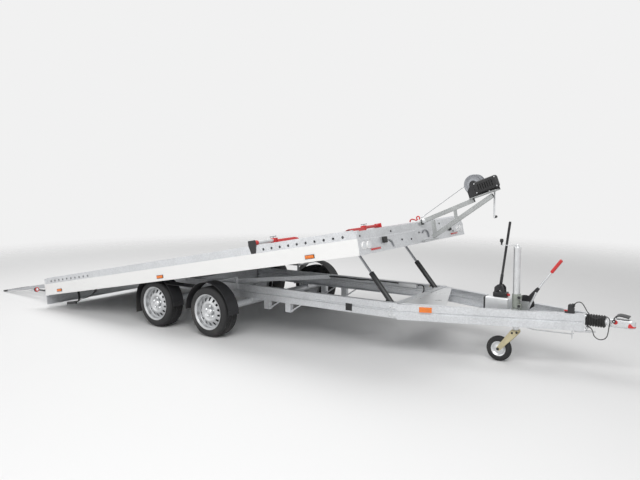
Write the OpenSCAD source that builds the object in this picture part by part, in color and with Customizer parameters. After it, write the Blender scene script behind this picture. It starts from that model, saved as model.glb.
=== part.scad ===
// Twin-axle tilting car trailer, drawn with its bed tipped back and the ramps on the ground.
// X runs forward to the coupling, Y to the trailer's left, Z up from the ground.

/* [Bed] */
// Length of the bed along its side rails
bed_len = 4700; // [4500:10:4900]
// Overall width over the side rails
bed_width = 2130; // [2100:2:2200]
// Tilt of the bed at rest, in degrees
bed_tilt = 9.97; // [9.5:0.01:10.2]
// Height of the white side rails
side_rail_h = 140; // [130:1:150]
// Thickness of the side rails
side_rail_t = 45; // [40:1:50]
// Height of the kerb strip above the side rails
kerb_h = 75; // [60:1:85]
// Sheet thickness of the kerb strip
kerb_t = 5; // [4:0.5:6]
// Height of the deck's underside above the bottom of the side rails
deck_under = 115; // [112:1:118]
// Thickness of the deck board
deck_t = 18; // [12:1:20]
// Depth of the bed's cross members
joist_h = 30; // [20:1:32]
// Diameter of the lashing holes in the kerb
lash_hole_d = 25; // [18:1:30]
// Pitch of the front lashing holes
lash_pitch_front = 98; // [90:1:100]
// Pitch of the rear lashing holes
lash_pitch_rear = 86; // [80:1:95]
// Lashing holes in each row
lash_count = 10; // [6:1:10]

/* [Chassis] */
// Width over the chassis rails
chassis_width = 1060; // [1040:2:1080]
// Height of the rails' top face above the ground
rail_top = 486; // [480:1:495]
// Depth of the rails
rail_h = 138; // [130:1:145]
// Width of the rails' flanges
rail_flange = 45; // [40:1:46]
// Sheet thickness of rails and drawbar
rail_t = 5; // [4:0.5:6]
// Rear end of the rails, from the midpoint of the axles
rail_rear = -700; // [-740:5:-680]
// Front end of the rails ahead of the level bed's front end
rail_ahead = 12; // [0:2:32]
// Length of the drawbar ahead of the rails
drawbar_len = 1470; // [1440:5:1500]
// Half width over the drawbar at its front end
drawbar_tip_half = 62; // [60:1:66]

/* [Wheels] */
// Distance between the two axles
axle_gap = 800; // [780:5:820]
// Outer diameter of the tyres
tyre_d = 515; // [500:1:525]
// Width of the tyres
tyre_w = 190; // [180:1:195]
// Distance between the outer faces of a pair of tyres
track_outer = 1960; // [1940:5:1970]
// Diameter of the wheel rims over their flange
rim_d = 365; // [355:1:370]
// Slots around each wheel disc
rim_slots = 14; // [10:1:16]

/* [Tilt gear] */
// Tilt hinge, from the midpoint of the axles
pivot_x = -449; // [-460:1:-440]
// Tilt hinge along the bed, from the bed's rear end
pivot_u = 1943; // [1930:1:1955]
// Tilt hinge above the bottom of the side rails
pivot_w = 45; // [42:1:50]
// Diameter of the tilt pin
pivot_d = 30; // [24:1:34]
// Distance of the lift cylinders from the outside of the chassis rails
strut_inset = 75; // [74:1:77]
// Upper eye of the lift cylinders behind the bed's front end
strut_back = 465; // [455:1:475]
// Upper eye of the lift cylinders above the bottom of the side rails
strut_w = 88; // [86:1:90]
// Lower pin of the lift cylinders behind the rails' front end
strut_foot_back = 85; // [80:1:90]
// Lower pin of the lift cylinders above the ground
strut_foot_z = 458; // [452:1:460]
// Diameter of the cylinder barrels
barrel_d = 50; // [44:1:50]
// Length of the barrels from the lower pin to the top of the gland
barrel_len = 350; // [345:1:352]
// Diameter of the piston rods
piston_d = 24; // [18:1:26]

/* [Ramps] */
// Length of the ramps from hook to tip
ramp_len = 1580; // [1540:5:1600]
// Width of each ramp
ramp_width = 360; // [320:5:380]
// Gap between a ramp's outer edge and the bed's side
ramp_inset = 305; // [285:5:325]
// Depth of the ramps' side beams at the bed
ramp_depth = 55; // [45:1:60]

/* [Winch] */
// Winch stand, to the left of the centre line
winch_y = 100; // [96:1:104]
// Diameter of the winch's side discs
winch_disc_d = 184; // [170:1:186]
// Radius of the winch crank
winch_crank_r = 245; // [220:5:250]

/* [Drawbar fittings] */
// Jockey wheel post behind the drawbar's front end
jockey_back = 536; // [530:1:540]
// Jockey wheel post, to the right of the centre line
jockey_y = 130; // [128:1:134]
// Diameter of the jockey wheel
jockey_wheel_d = 220; // [200:2:224]
// Trail of the jockey wheel behind its post
jockey_trail = 142; // [138:1:145]
// Height of the top of the jockey post
jockey_top = 1010; // [1000:5:1020]
// Height of the pump lever's upper end
pump_lever_top = 1210; // [1180:5:1230]

/* [Hidden] */

$fn = 48;
fit = 0.05;
seat_gap = 0.3;
clear = 5;

galvanised = "#c9ced0";
zinc = "#d6d8d6";
white = "#f2f2ef";
black = "#1b1b1c";
red = "#d5242b";
orange = "#f06a1e";

bed_half = bed_width / 2;
chassis_half = chassis_width / 2;
wheel_z = tyre_d / 2;
pivot_z = rail_top + clear + pivot_w;
bed_x = pivot_x - (pivot_u * cos(bed_tilt) - pivot_w * sin(bed_tilt));
bed_z = pivot_z - (pivot_u * sin(bed_tilt) + pivot_w * cos(bed_tilt));
deck_top = deck_under + deck_t;
kerb_inset = 12;
kerb_face = bed_half - kerb_inset;
rail_front = pivot_x + bed_len - pivot_u + rail_ahead;
drawbar_front = rail_front + drawbar_len;
jockey_x = drawbar_front - jockey_back;
ramp_inner = bed_half - ramp_inset - ramp_width;
strut_y = chassis_half - strut_inset;
strut_u = bed_len - strut_back;
strut_foot_x = rail_front - strut_foot_back;

// A point given along the bed and above it, in the upright frame
function on_bed(u, w) = [
    bed_x + u * cos(bed_tilt) - w * sin(bed_tilt),
    bed_z + u * sin(bed_tilt) + w * cos(bed_tilt)
];

strut_head = on_bed(strut_u, strut_w);
strut_run = [strut_head[0] - strut_foot_x, strut_head[1] - strut_foot_z];
strut_len = norm(strut_run);
strut_angle = atan2(strut_run[1], strut_run[0]);

ramp_hook_u = -20;
ramp_hook_w = 112;
ramp_hook = on_bed(ramp_hook_u, ramp_hook_w);
ramp_tip_r = 9;
ramp_drop = asin((ramp_hook[1] - ramp_tip_r) / ramp_len);

nose_x = drawbar_front + 375;
head_d = 80;
ball_x = nose_x - head_d / 2;
rear_x = ramp_hook[0] - ramp_len * cos(ramp_drop) - ramp_tip_r;
mid_x = (nose_x + rear_x) / 2;

drawbar_run = [drawbar_front - rail_front, chassis_half - drawbar_tip_half];
drawbar_angle = atan2(drawbar_run[1], drawbar_run[0]);
drawbar_drop = 8;
drawbar_top = rail_top - drawbar_drop;
coupling_z = 425;
coupling_x0 = drawbar_front + 8;

// Places a piece of the chassis: the model's origin is under the middle of its length
module world() {
    translate([-mid_x, 0, 0]) children();
}

// Places a piece drawn along the bed, with X from its rear end and Z from the rails' bottom
module on_bed_frame() {
    world() translate([bed_x, 0, bed_z]) rotate([0, -bed_tilt, 0]) children();
}

// Mirrors a piece drawn on the left to the right
module side(s) {
    mirror([0, s < 0 ? 1 : 0, 0]) children();
}

// A bar with its axis along Y, centred on the plane y
module y_rod(d, len, x = 0, y = 0, z = 0) {
    translate([x, y, z]) rotate([90, 0, 0]) cylinder(d = d, h = len, center = true);
}

// A box given by its lowest and highest corners
module block(a, b) {
    translate(a) cube([b[0] - a[0], b[1] - a[1], b[2] - a[2]]);
}

// A round bar between two points in the XZ plane at one y
module xz_bar(d, a, b, y) {
    run = [b[0] - a[0], b[1] - a[1]];
    translate([a[0], y, a[1]]) rotate([0, 90 - atan2(run[1], run[0]), 0])
        cylinder(d = d, h = norm(run));
}

// A square tube between two points in the XZ plane at one y
module xz_tube(s, a, b, y, wall = 3) {
    run = [b[0] - a[0], b[1] - a[1]];
    translate([a[0], y, a[1]]) rotate([0, -atan2(run[1], run[0]), 0])
        difference() {
            translate([0, -s / 2, -s / 2]) cube([norm(run), s, s]);
            translate([-1, -s / 2 + wall, -s / 2 + wall])
                cube([norm(run) + 2, s - 2 * wall, s - 2 * wall]);
        }
}

// Lipped channel profile in YZ: web outside at y = 0, flanges towards negative y
module channel_profile(h, flange, t) {
    groove = 8;
    polygon([
        [-flange, 0], [0, 0], [0, h * 0.42], [-groove, h * 0.47], [-groove, h * 0.53],
        [0, h * 0.58], [0, h], [-flange, h], [-flange, h - t], [-t, h - t],
        [-t, h * 0.58 + t / 2], [-groove - t, h * 0.53 + t / 2], [-groove - t, h * 0.47 - t / 2],
        [-t, h * 0.42 - t / 2], [-t, t], [-flange, t]
    ]);
}

// Extrudes a YZ profile along X
module along_x(len) {
    rotate([90, 0, 90]) linear_extrude(len) children();
}

module rail(s) {
    color(galvanised) world() side(s)
        translate([rail_rear, chassis_half, rail_top - rail_h])
            along_x(rail_front - rail_rear) channel_profile(rail_h, rail_flange, rail_t);
}

module drawbar(s) {
    color(galvanised) world() side(s) intersection() {
        translate([rail_front, chassis_half, drawbar_top - rail_h]) rotate([0, 0, -drawbar_angle])
            translate([-100, 0, 0]) along_x(norm(drawbar_run) + 300)
                channel_profile(rail_h, rail_flange, rail_t);
        block([rail_front + seat_gap, 0, 0], [drawbar_front, chassis_half + 50, rail_top]);
    }
}

beam_fit = 0.3;
crossbeam_z0 = rail_top - rail_h + rail_t + beam_fit;
crossbeam_z1 = rail_top - rail_t - beam_fit;
crossbeam_half = chassis_half - rail_t - 8 - rail_t - beam_fit;
front_beam_x = rail_front - 52;
cheek_t = 4;
cheek_gap = 0.5;
strut_pin_d = 20;
crossbeam_x = -250;

brace_near = [-100, -crossbeam_half];
brace_far = [860, crossbeam_half];
brace_h = 45;
brace_t = 40;

// Diagonal tube between the rails, under their upper flanges
module cross_brace() {
    run = brace_far - brace_near;
    intersection() {
        translate([brace_near[0], brace_near[1], crossbeam_z1 - brace_h])
            rotate(atan2(run[1], run[0])) difference() {
                translate([-100, -brace_t / 2, 0]) cube([norm(run) + 200, brace_t, brace_h]);
                translate([-101, -brace_t / 2 + 4, 4])
                    cube([norm(run) + 202, brace_t - 8, brace_h - 8]);
            }
        block([brace_near[0] - 100, -crossbeam_half, 0], [brace_far[0] + 100, crossbeam_half, rail_top]);
    }
}

module crossbeams() {
    color(galvanised) world() {
        difference() {
            block([crossbeam_x - 20, -crossbeam_half, crossbeam_z0],
                  [crossbeam_x + 20, crossbeam_half, crossbeam_z1]);
            block([crossbeam_x - 16, -crossbeam_half - 1, crossbeam_z0 + 4],
                  [crossbeam_x + 16, crossbeam_half + 1, crossbeam_z1 - 4]);
        }
        difference() {
            block([front_beam_x, -crossbeam_half, crossbeam_z0],
                  [front_beam_x + 50, crossbeam_half, crossbeam_z1]);
            block([front_beam_x + 4, -crossbeam_half - 1, crossbeam_z0 + 4],
                  [front_beam_x + 46, crossbeam_half + 1, crossbeam_z1 - 4]);
        }
        block([rail_rear + 5, -crossbeam_half, crossbeam_z0],
              [rail_rear + 55, crossbeam_half, crossbeam_z0 + 60]);
        for (s = [-1, 1]) side(s) strut_foot();
        cross_brace();
    }
}

// Cheeks behind the front beam, with the lower pin of a lift cylinder
module strut_foot() {
    cheek_in = strut_y - barrel_d / 2 - cheek_gap;
    cheek_out = strut_y + barrel_d / 2 + cheek_gap;
    for (y = [cheek_in, cheek_out + cheek_t])
        translate([0, y, 0]) rotate([90, 0, 0]) linear_extrude(cheek_t) {
            translate([strut_foot_x, strut_foot_z]) circle(d = 40);
            translate([strut_foot_x, strut_foot_z - 60])
                square([front_beam_x - strut_foot_x, 80]);
        }
    translate([strut_foot_x, cheek_in - cheek_t, strut_foot_z]) rotate([-90, 0, 0])
        cylinder(d = strut_pin_d, h = cheek_out - cheek_in + 2 * cheek_t);
}

bracket_x = [770, 1050];
bracket_w = 66;
bracket_drop = 90;
bracket_run = 130;

// Square feet under the rails, each with a brace running forwards
module rail_brackets() {
    z1 = rail_top - rail_h;
    z0 = z1 - bracket_drop;
    color(galvanised) world() for (s = [-1, 1], x = bracket_x) side(s) {
        difference() {
            block([x, chassis_half - rail_flange, z0], [x + bracket_w, chassis_half, z1]);
            block([x + 4, chassis_half - rail_flange + 4, z0 - 1],
                  [x + bracket_w - 4, chassis_half - 4, z1 + 1]);
        }
        plate_at(chassis_half - rail_flange / 2 - 10, 20) polygon([
            [x + bracket_w, z0 + 4], [x + bracket_w, z0 + 18],
            [x + bracket_w + bracket_run - 18, z1], [x + bracket_w + bracket_run, z1]
        ]);
    }
}

module corner_plates() {
    plate_z = drawbar_top + seat_gap;
    color(zinc) world() {
        translate([0, 0, plate_z]) linear_extrude(5) difference() {
            polygon([
                [rail_front + 22, -chassis_half + 42], [rail_front + 22, chassis_half - 90],
                [rail_front + 100, chassis_half - 110], [rail_front + 400, -chassis_half + 160]
            ]);
            translate([rail_front + 240, -190]) rotate(35) square([70, 24], center = true);
        }
    }
}

axle_tube_d = 70;
axle_arm_y = track_outer / 2 - tyre_w - 70;
axle_arm_t = 36;
axle_trail = 140;
brake_drum_d = 220;
stub_d = 44;
stub_end_y = track_outer / 2 - 52;

// Rubber-sprung axle: tube under the rails, trailing arms, brake drums and stub shafts
module axle(x) {
    tube_x = x + axle_trail;
    tube_z = rail_top - rail_h - 6 - axle_tube_d / 2;
    color(galvanised) world() {
        y_rod(axle_tube_d, 2 * axle_arm_y, tube_x, 0, tube_z);
        for (s = [-1, 1]) side(s) {
            block([tube_x - 45, chassis_half - rail_flange, tube_z],
                  [tube_x + 45, chassis_half - rail_flange + 30, rail_top - rail_h]);
            hull() {
                y_rod(82, axle_arm_t, tube_x, axle_arm_y + axle_arm_t / 2, tube_z);
                y_rod(62, axle_arm_t, x, axle_arm_y + axle_arm_t / 2, wheel_z);
            }
            y_rod(brake_drum_d, 66, x, axle_arm_y + axle_arm_t + 50, wheel_z);
            translate([x, axle_arm_y, wheel_z]) rotate([-90, 0, 0])
                cylinder(d = stub_d, h = stub_end_y - axle_arm_y);
        }
    }
}

guard_gap = 45;
guard_t = 4;
guard_in = track_outer / 2 - 140;
guard_out = track_outer / 2 + 6;
guard_r = tyre_d / 2 + guard_gap;
flap_t = 3;
flap_z = 130;
flap_short_z = 300;

// Upper half of a flat ring, from radius r to r + t
module half_ring(r, t) {
    difference() {
        circle(r = r + t);
        circle(r = r);
        translate([-r - t - 1, -r - t - 1]) square([2 * (r + t + 1), r + t + 1]);
    }
}

// One curved guard over each wheel with a flap at each end, and a strip that joins the two
module mudguard(s) {
    color(black) world() side(s)
        translate([0, guard_out, 0]) rotate([90, 0, 0]) linear_extrude(guard_out - guard_in) {
            for (e = [-1, 1]) {
                translate([e * axle_gap / 2, wheel_z]) half_ring(guard_r, guard_t);
                for (f = [-1, 1]) {
                    foot = e < 0 && f < 0 ? flap_z : flap_short_z;
                    translate([e * axle_gap / 2 + f * (guard_r + guard_t / 2) - flap_t / 2, foot])
                        square([flap_t, wheel_z + 3 - foot]);
                }
            }
            translate([-axle_gap / 2 + guard_r * cos(50), wheel_z + guard_r * sin(50)])
                square([axle_gap - 2 * guard_r * cos(50), guard_t]);
        }
}

// L-shaped bars that carry the mudguards from the rails
module guard_brackets() {
    bar_t = 8;
    half = 12;
    bar_z = wheel_z + sqrt(guard_r * guard_r - half * half) - seat_gap - bar_t;
    color(galvanised) world() for (s = [-1, 1], e = [-1, 1]) side(s) {
        x = e * axle_gap / 2;
        block([x - half, chassis_half, rail_top - rail_h + 90],
              [x + half, chassis_half + bar_t, bar_z + bar_t]);
        block([x - half, chassis_half, bar_z], [x + half, guard_out - 20, bar_z + bar_t]);
    }
}

module tilt_brackets() {
    foot_t = 6;
    cheek_y = chassis_half - rail_flange + 2;
    color(galvanised) world() for (s = [-1, 1]) side(s) {
        translate([pivot_x - 70, cheek_y, rail_top]) cube([140, rail_flange - 4, foot_t]);
        translate([pivot_x, cheek_y + 8, 0]) rotate([90, 0, 0]) linear_extrude(8) union() {
            translate([0, pivot_z]) circle(d = 64);
            translate([-45, rail_top + foot_t - 1]) square([90, pivot_z - rail_top - foot_t + 1]);
        }
        translate([pivot_x, 0, pivot_z]) rotate([-90, 0, 0]) translate([0, 0, bed_beam_y0 - 10])
            cylinder(d = pivot_d, h = cheek_y + 20 - (bed_beam_y0 - 10));
    }
}

pump_y = -20;
pump_x0 = rail_front + 620;
pump_len = 226;
cradle_t = 5;
cradle_z1 = drawbar_top - rail_h + rail_h * 0.42 - rail_t;
tank_z0 = cradle_z1;
tank_z1 = 545;

// Plate between the webs of the drawbar beams, from x0 to x1
module drawbar_plate(x0, x1) {
    function half(x) = chassis_half - (rail_t + seat_gap) / cos(drawbar_angle)
                       - (x - rail_front) * tan(drawbar_angle);
    translate([0, 0, cradle_z1 - cradle_t]) linear_extrude(cradle_t)
        polygon([[x0, -half(x0)], [x1, -half(x1)], [x1, half(x1)], [x0, half(x0)]]);
}

pump_pivot = [pump_x0 + 135, tank_z1 + 92];
pump_pin_d = 16;
pump_boss_w = 44;

module hydraulic_pump() {
    cheek_t = 10;
    color(black) world() {
        translate([pump_x0, pump_y - 55, tank_z0]) cube([pump_len, 110, tank_z1 - tank_z0]);
        translate([pump_x0 + 80, pump_y - 36, tank_z1 - 1]) cube([120, 72, 50]);
        for (e = [-1, 1])
            translate([pump_x0 + 105, pump_y + e * (pump_boss_w / 2 + 1 + cheek_t / 2) - cheek_t / 2,
                       tank_z1])
                cube([60, cheek_t, 110]);
        y_rod(pump_pin_d, pump_boss_w + 30, pump_pivot[0], pump_y, pump_pivot[1]);
        translate([pump_x0 + 200, pump_y, tank_z1 + 22]) rotate([0, 90, 0]) cylinder(d = 22, h = 20);
        drawbar_plate(pump_x0, pump_x0 + 50);
        block([pump_x0, pump_y - 55, cradle_z1 - cradle_t], [pump_x0 + pump_len, pump_y + 55, cradle_z1]);
    }
}

module pump_lever() {
    lever_top = [pump_pivot[0] + 74, pump_lever_top];
    color(black) world() difference() {
        union() {
            y_rod(44, pump_boss_w, pump_pivot[0], pump_y, pump_pivot[1]);
            xz_bar(22, pump_pivot, lever_top, pump_y);
        }
        y_rod(pump_pin_d + 2 * fit, pump_boss_w + 2, pump_pivot[0], pump_y, pump_pivot[1]);
    }
}

// Split clamp between the flanges of the right drawbar beam
module jockey_clamp() {
    yo = -jockey_y;
    beam_y = -(chassis_half - (jockey_x - rail_front) * tan(drawbar_angle));
    z0 = drawbar_top - rail_h + rail_t;
    z1 = drawbar_top - rail_t;
    color(black) world() difference() {
        union() {
            translate([jockey_x, yo, z0]) cylinder(d = 86, h = z1 - z0);
            translate([jockey_x - 30, beam_y + 28, z0]) cube([60, yo - beam_y - 28, z1 - z0]);
        }
        translate([jockey_x, yo, 0]) cylinder(d = jockey_tube_d + 2 * fit, h = 1000);
    }
}

jockey_tube_d = 60;
jockey_inner_d = 48;
jockey_base = 315;
jockey_inner_len = 500;
jockey_stem_d = 20;
fork_z = 292;

module jockey_post() {
    color(zinc) world() translate([jockey_x, -jockey_y, 0]) difference() {
        translate([0, 0, jockey_base]) cylinder(d = jockey_tube_d, h = jockey_top - jockey_base);
        translate([0, 0, jockey_base - 1])
            cylinder(d = jockey_inner_d + 2 * fit, h = jockey_top - jockey_base - 39);
    }
}

jockey_arm = 135;
jockey_arm_angle = 216;

module jockey_crank() {
    color(zinc) world() translate([jockey_x, -jockey_y, jockey_top]) rotate(jockey_arm_angle) {
        translate([0, 0, seat_gap]) cylinder(d = 30, h = 22);
        translate([0, -7, 8]) cube([jockey_arm, 14, 8]);
        translate([jockey_arm, 0, 8]) cylinder(d = 14, h = 60);
        translate([jockey_arm, 0, 24]) cylinder(d = 30, h = 40);
    }
}

// Inner tube, wound out of the post by the crank; the fork turns on its stem
module jockey_inner() {
    color(zinc) world() translate([jockey_x, -jockey_y, 0]) {
        translate([0, 0, fork_z + seat_gap]) cylinder(d = jockey_inner_d, h = jockey_inner_len);
        translate([0, 0, fork_z - 14]) cylinder(d = jockey_stem_d, h = 20);
        translate([0, 0, fork_z - 14]) cylinder(d = jockey_stem_d + 12, h = 5);
    }
}

module jockey_fork() {
    wheel_c = jockey_wheel_d / 2;
    color("#b9ab82") world() translate([jockey_x, -jockey_y, 0]) {
        difference() {
            translate([-30, -36, fork_z - 8]) cube([60, 72, 8]);
            translate([0, 0, fork_z - 9]) cylinder(d = jockey_stem_d + 2 * fit, h = 10);
        }
        for (y = [-36, 31]) translate([0, y + 5, 0]) rotate([90, 0, 0]) linear_extrude(5)
            polygon([[-30, fork_z], [30, fork_z], [30, fork_z - 28], [-jockey_trail + 16, wheel_c - 18],
                     [-jockey_trail - 14, wheel_c - 4], [-jockey_trail - 10, wheel_c + 16]]);
        y_rod(16, 74, -jockey_trail, 0, wheel_c);
    }
}

module jockey_wheel() {
    color(black) world() translate([jockey_x - jockey_trail, -jockey_y, jockey_wheel_d / 2])
        rotate([90, 0, 0]) rotate_extrude() polygon([
            [8 + fit, -28], [30, -28], [30, -22], [80, -18], [84, -26], [104, -24],
            [jockey_wheel_d / 2, -12], [jockey_wheel_d / 2, 12], [104, 24], [84, 26],
            [80, 18], [30, 22], [30, 28], [8 + fit, 28]
        ]);
}

brake_pivot = [drawbar_front - 494, drawbar_top + 24];
brake_tip = [drawbar_front - 200, drawbar_top + 427];
brake_y = -20;
brake_pin_d = 14;

cord_y = -62;
cord_gland = [20, 385];

module coupling_housing() {
    color(zinc) world() {
        difference() {
            union() {
                translate([drawbar_front, -68, drawbar_top - rail_h - 4]) cube([8, 136, rail_h + 8]);
                translate([drawbar_front - 260, 0, coupling_z]) rotate([0, 90, 0])
                    cylinder(d = 74, h = 268);
            }
            translate([drawbar_front - 300, 0, coupling_z]) rotate([0, 90, 0])
                cylinder(d = shaft_d + 2 * fit, h = 400);
        }
        translate([drawbar_front + 7, cord_y, cord_gland[1]]) rotate([0, 90, 0])
            cylinder(d = 12, h = cord_gland[0] - 7);
        for (y = [-15, 9]) translate([brake_pivot[0] - 40, brake_y + y, cradle_z1])
            cube([80, 6, brake_pivot[1] + 26 - cradle_z1]);
        y_rod(brake_pin_d, 30, brake_pivot[0], brake_y, brake_pivot[1]);
        drawbar_plate(jockey_x + 50, jockey_x + 90);
        block([brake_pivot[0] - 40, brake_y - 15, cradle_z1 - cradle_t],
              [brake_pivot[0] + 40, brake_y + 15, cradle_z1]);
    }
}

shaft_d = 50;
ball_d = 51;
ball_mouth_d = 50;
head_x0 = drawbar_front + 170;

module brake_lever() {
    run = [brake_tip[0] - brake_pivot[0], brake_tip[1] - brake_pivot[1]];
    grip_foot = [brake_pivot[0] + run[0] * 0.72, brake_pivot[1] + run[1] * 0.72];
    color(black) world() difference() {
        union() {
            y_rod(46, 16, brake_pivot[0], brake_y, brake_pivot[1]);
            xz_bar(14, brake_pivot, grip_foot, brake_y);
            color(red) xz_bar(30, grip_foot, brake_tip, brake_y);
        }
        y_rod(brake_pin_d + 2 * fit, 20, brake_pivot[0], brake_y, brake_pivot[1]);
    }
}

module coupling_head() {
    color(zinc) world() translate([0, 0, coupling_z]) {
        translate([drawbar_front - 230, 0, 0]) rotate([0, 90, 0]) cylinder(d = shaft_d, h = 400);
        difference() {
            union() {
                translate([head_x0, 0, -34]) linear_extrude(74) hull() {
                    square([4, 66], center = true);
                    translate([ball_x - head_x0, 0]) circle(d = head_d, $fn = 32);
                }
                translate([ball_x, 0, -10]) sphere(d = head_d - 4);
                y_rod(handle_pin_d, 102, handle_pivot_x, 0, 20);
            }
            translate([ball_x, 0, -12]) sphere(d = ball_d);
            translate([ball_x, 0, -80]) cylinder(d = ball_mouth_d, h = 68);
            translate([head_x0 + 40, -60, -90]) cube([200, 120, 50]);
        }
    }
}

module coupling_bellows() {
    x0 = coupling_x0 + seat_gap;
    x1 = head_x0 - 20;
    folds = 7;
    pitch = (x1 - x0) / folds;
    color(black) world() translate([x0, 0, coupling_z]) rotate([0, 90, 0]) rotate_extrude()
        polygon(concat(
            [[shaft_d / 2 + seat_gap, 0], [44, 0]],
            [for (i = [0:folds - 1]) each [[52, pitch * (i + 0.3)], [52, pitch * (i + 0.7)],
                                           [43, pitch * (i + 1)]]],
            [[shaft_d / 2 + seat_gap, folds * pitch]]
        ));
}

handle_pivot_x = head_x0 + 50;
handle_pin_d = 12;

module coupling_handle() {
    color(black) world() difference() {
        union() for (y = [-50, 41.5]) {
            translate([handle_pivot_x, y + 8.5, coupling_z + 20]) rotate([90, 0, 0])
                cylinder(d = 26, h = 8.5);
            translate([handle_pivot_x - 10, y, coupling_z + 20]) cube([20, 8.5, 50]);
            translate([handle_pivot_x - 10, y, coupling_z + 55]) cube([120, 8.5, 16]);
            translate([handle_pivot_x + 90, -50, coupling_z + 55]) cube([20, 100, 16]);
        }
        y_rod(handle_pin_d + 2 * fit, 120, handle_pivot_x, 0, coupling_z + 20);
    }
}

plug_exit = [-74, 558];

// Holder on the right drawbar beam with the parked plug in it, its cable end upwards
module parking_socket() {
    color(black) world() translate([drawbar_front, cord_y, 0]) {
        block([-150, -22, drawbar_top + seat_gap], [-76, 22, 491]);
        plate_at(-22, 44) polygon([[-127, 490], [-82, 490], [-79, 517], [-115, 553], [-124, 548]]);
        translate([plug_exit[0], 0, plug_exit[1]]) rotate([0, -135, 0]) {
            cylinder(d = 16, h = 14);
            translate([0, 0, 11]) cylinder(d = 34, h = 40);
        }
    }
}

cord_d = 7.5;
cord_sides = 8;
cord_path = [
    plug_exit, [-65, 567], [-53, 574], [-38, 576], [-24, 571], [-12, 560], [2, 538], [18, 511],
    [34, 489], [51, 471], [70, 459], [91, 456], [111, 461], [134, 472], [152, 479], [169, 479],
    [183, 471], [192, 456], [194, 438], [192, 418], [189, 397], [186, 372], [182, 343], [174, 316],
    [154, 295], [126, 287], [98, 295], [78, 315], [70, 341], [61, 363], [45, 378], [32, 384],
    cord_gland
];

// A point between b and c on the smooth curve through a, b, c and d
function curve(a, b, c, d, t) = (2 * b + (c - a) * t + (2 * a - 5 * b + 4 * c - d) * t * t
                                 + (3 * b - a - 3 * c + d) * t * t * t) / 2;

// Supply cable of the lights, hanging between the parked plug and its gland
module electric_cable() {
    last = len(cord_path) - 1;
    steps = 2;
    ends = concat([2 * cord_path[0] - cord_path[1]], cord_path,
                  [2 * cord_path[last] - cord_path[last - 1]]);
    line = concat([for (i = [0:last - 1], k = [0:steps - 1])
                      curve(ends[i], ends[i + 1], ends[i + 2], ends[i + 3], k / steps)],
                  [cord_path[last]]);
    rings = len(line);
    points = [for (i = [0:rings - 1]) let (
                  run = line[min(i + 1, rings - 1)] - line[max(i - 1, 0)],
                  out = [-run[1], run[0]] / norm(run) * cord_d / 2)
              for (k = [0:cord_sides - 1]) let (a = k * 360 / cord_sides)
                  [line[i][0] + out[0] * cos(a), sin(a) * cord_d / 2, line[i][1] + out[1] * cos(a)]];
    walls = [for (i = [0:rings - 2], k = [0:cord_sides - 1]) let (n = (k + 1) % cord_sides)
                 [i * cord_sides + k, (i + 1) * cord_sides + k,
                  (i + 1) * cord_sides + n, i * cord_sides + n]];
    caps = [[for (k = [0:cord_sides - 1]) k],
            [for (k = [cord_sides - 1:-1:0]) (rings - 1) * cord_sides + k]];
    color(black) world() translate([drawbar_front, cord_y, 0]) polyhedron(points, concat(walls, caps));
}

module reflectors() {
    beam_mid = [rail_front + 190, chassis_half - 190 * tan(drawbar_angle)];
    color(orange) world() for (s = [-1, 1]) side(s)
        translate([beam_mid[0], beam_mid[1], drawbar_top - 60]) rotate([0, 0, -drawbar_angle])
            translate([0, fit, 0]) cube([110, 8, 46]);
}

bed_beam_w = 80;
bed_beam_y1 = strut_y - 35;
bed_beam_y0 = bed_beam_y1 - bed_beam_w;
bed_beam_u0 = pivot_u - 493;
headboard_t = 6;
bed_inner_len = bed_len - headboard_t;

module deck() {
    color(galvanised) on_bed_frame()
        translate([4, -bed_half + side_rail_t, deck_under])
            cube([bed_len - 50, bed_width - 2 * side_rail_t, deck_t]);
}

module side_rail(s) {
    wall = 3;
    color(white) on_bed_frame() side(s) difference() {
        translate([0, bed_half - side_rail_t, 0]) cube([bed_inner_len, side_rail_t, side_rail_h]);
        for (z = [wall, side_rail_h / 2 + wall / 2])
            translate([-1, bed_half - side_rail_t + wall, z])
                cube([bed_inner_len + 2, side_rail_t - 2 * wall, side_rail_h / 2 - 1.5 * wall]);
    }
}

kerb_post = 50;
kerb_hollow = 28;
kerb_back_t = 4;
lash_front_u = bed_len - 1036;
lash_rear_u = 140;
lash_w = side_rail_h + 28;

module kerb(s) {
    color(galvanised) on_bed_frame() side(s) {
        difference() {
            union() {
                translate([kerb_post, kerb_face - kerb_t, side_rail_h])
                    cube([bed_inner_len - 2 * kerb_post, kerb_t, kerb_h]);
                translate([kerb_post, kerb_face - kerb_hollow, side_rail_h + kerb_h - kerb_t])
                    cube([bed_inner_len - 2 * kerb_post, kerb_hollow, kerb_t]);
                translate([kerb_post, kerb_face - kerb_hollow, side_rail_h])
                    cube([bed_inner_len - 2 * kerb_post, kerb_back_t, kerb_h]);
            }
            for (i = [0:lash_count - 1],
                 u = [lash_front_u + i * lash_pitch_front, lash_rear_u + i * lash_pitch_rear])
                y_rod(lash_hole_d, 2 * kerb_t + 2, u, kerb_face, lash_w);
        }
        for (u = [0, bed_inner_len - kerb_post])
            translate([u, kerb_face - kerb_hollow - 2, side_rail_h])
                cube([kerb_post, kerb_hollow + 6, kerb_h - 8]);
    }
}

joist_w = 60;
joist_pitch = (strut_u - 235) / 8;
joist_u = [for (i = [0:8]) joist_w + i * joist_pitch];

beam_wall = 5;
beam_top = deck_under - joist_h;
cheek_in_y = bed_beam_y1;
cheek_out_y = strut_y + barrel_d / 2 + clear;

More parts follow.
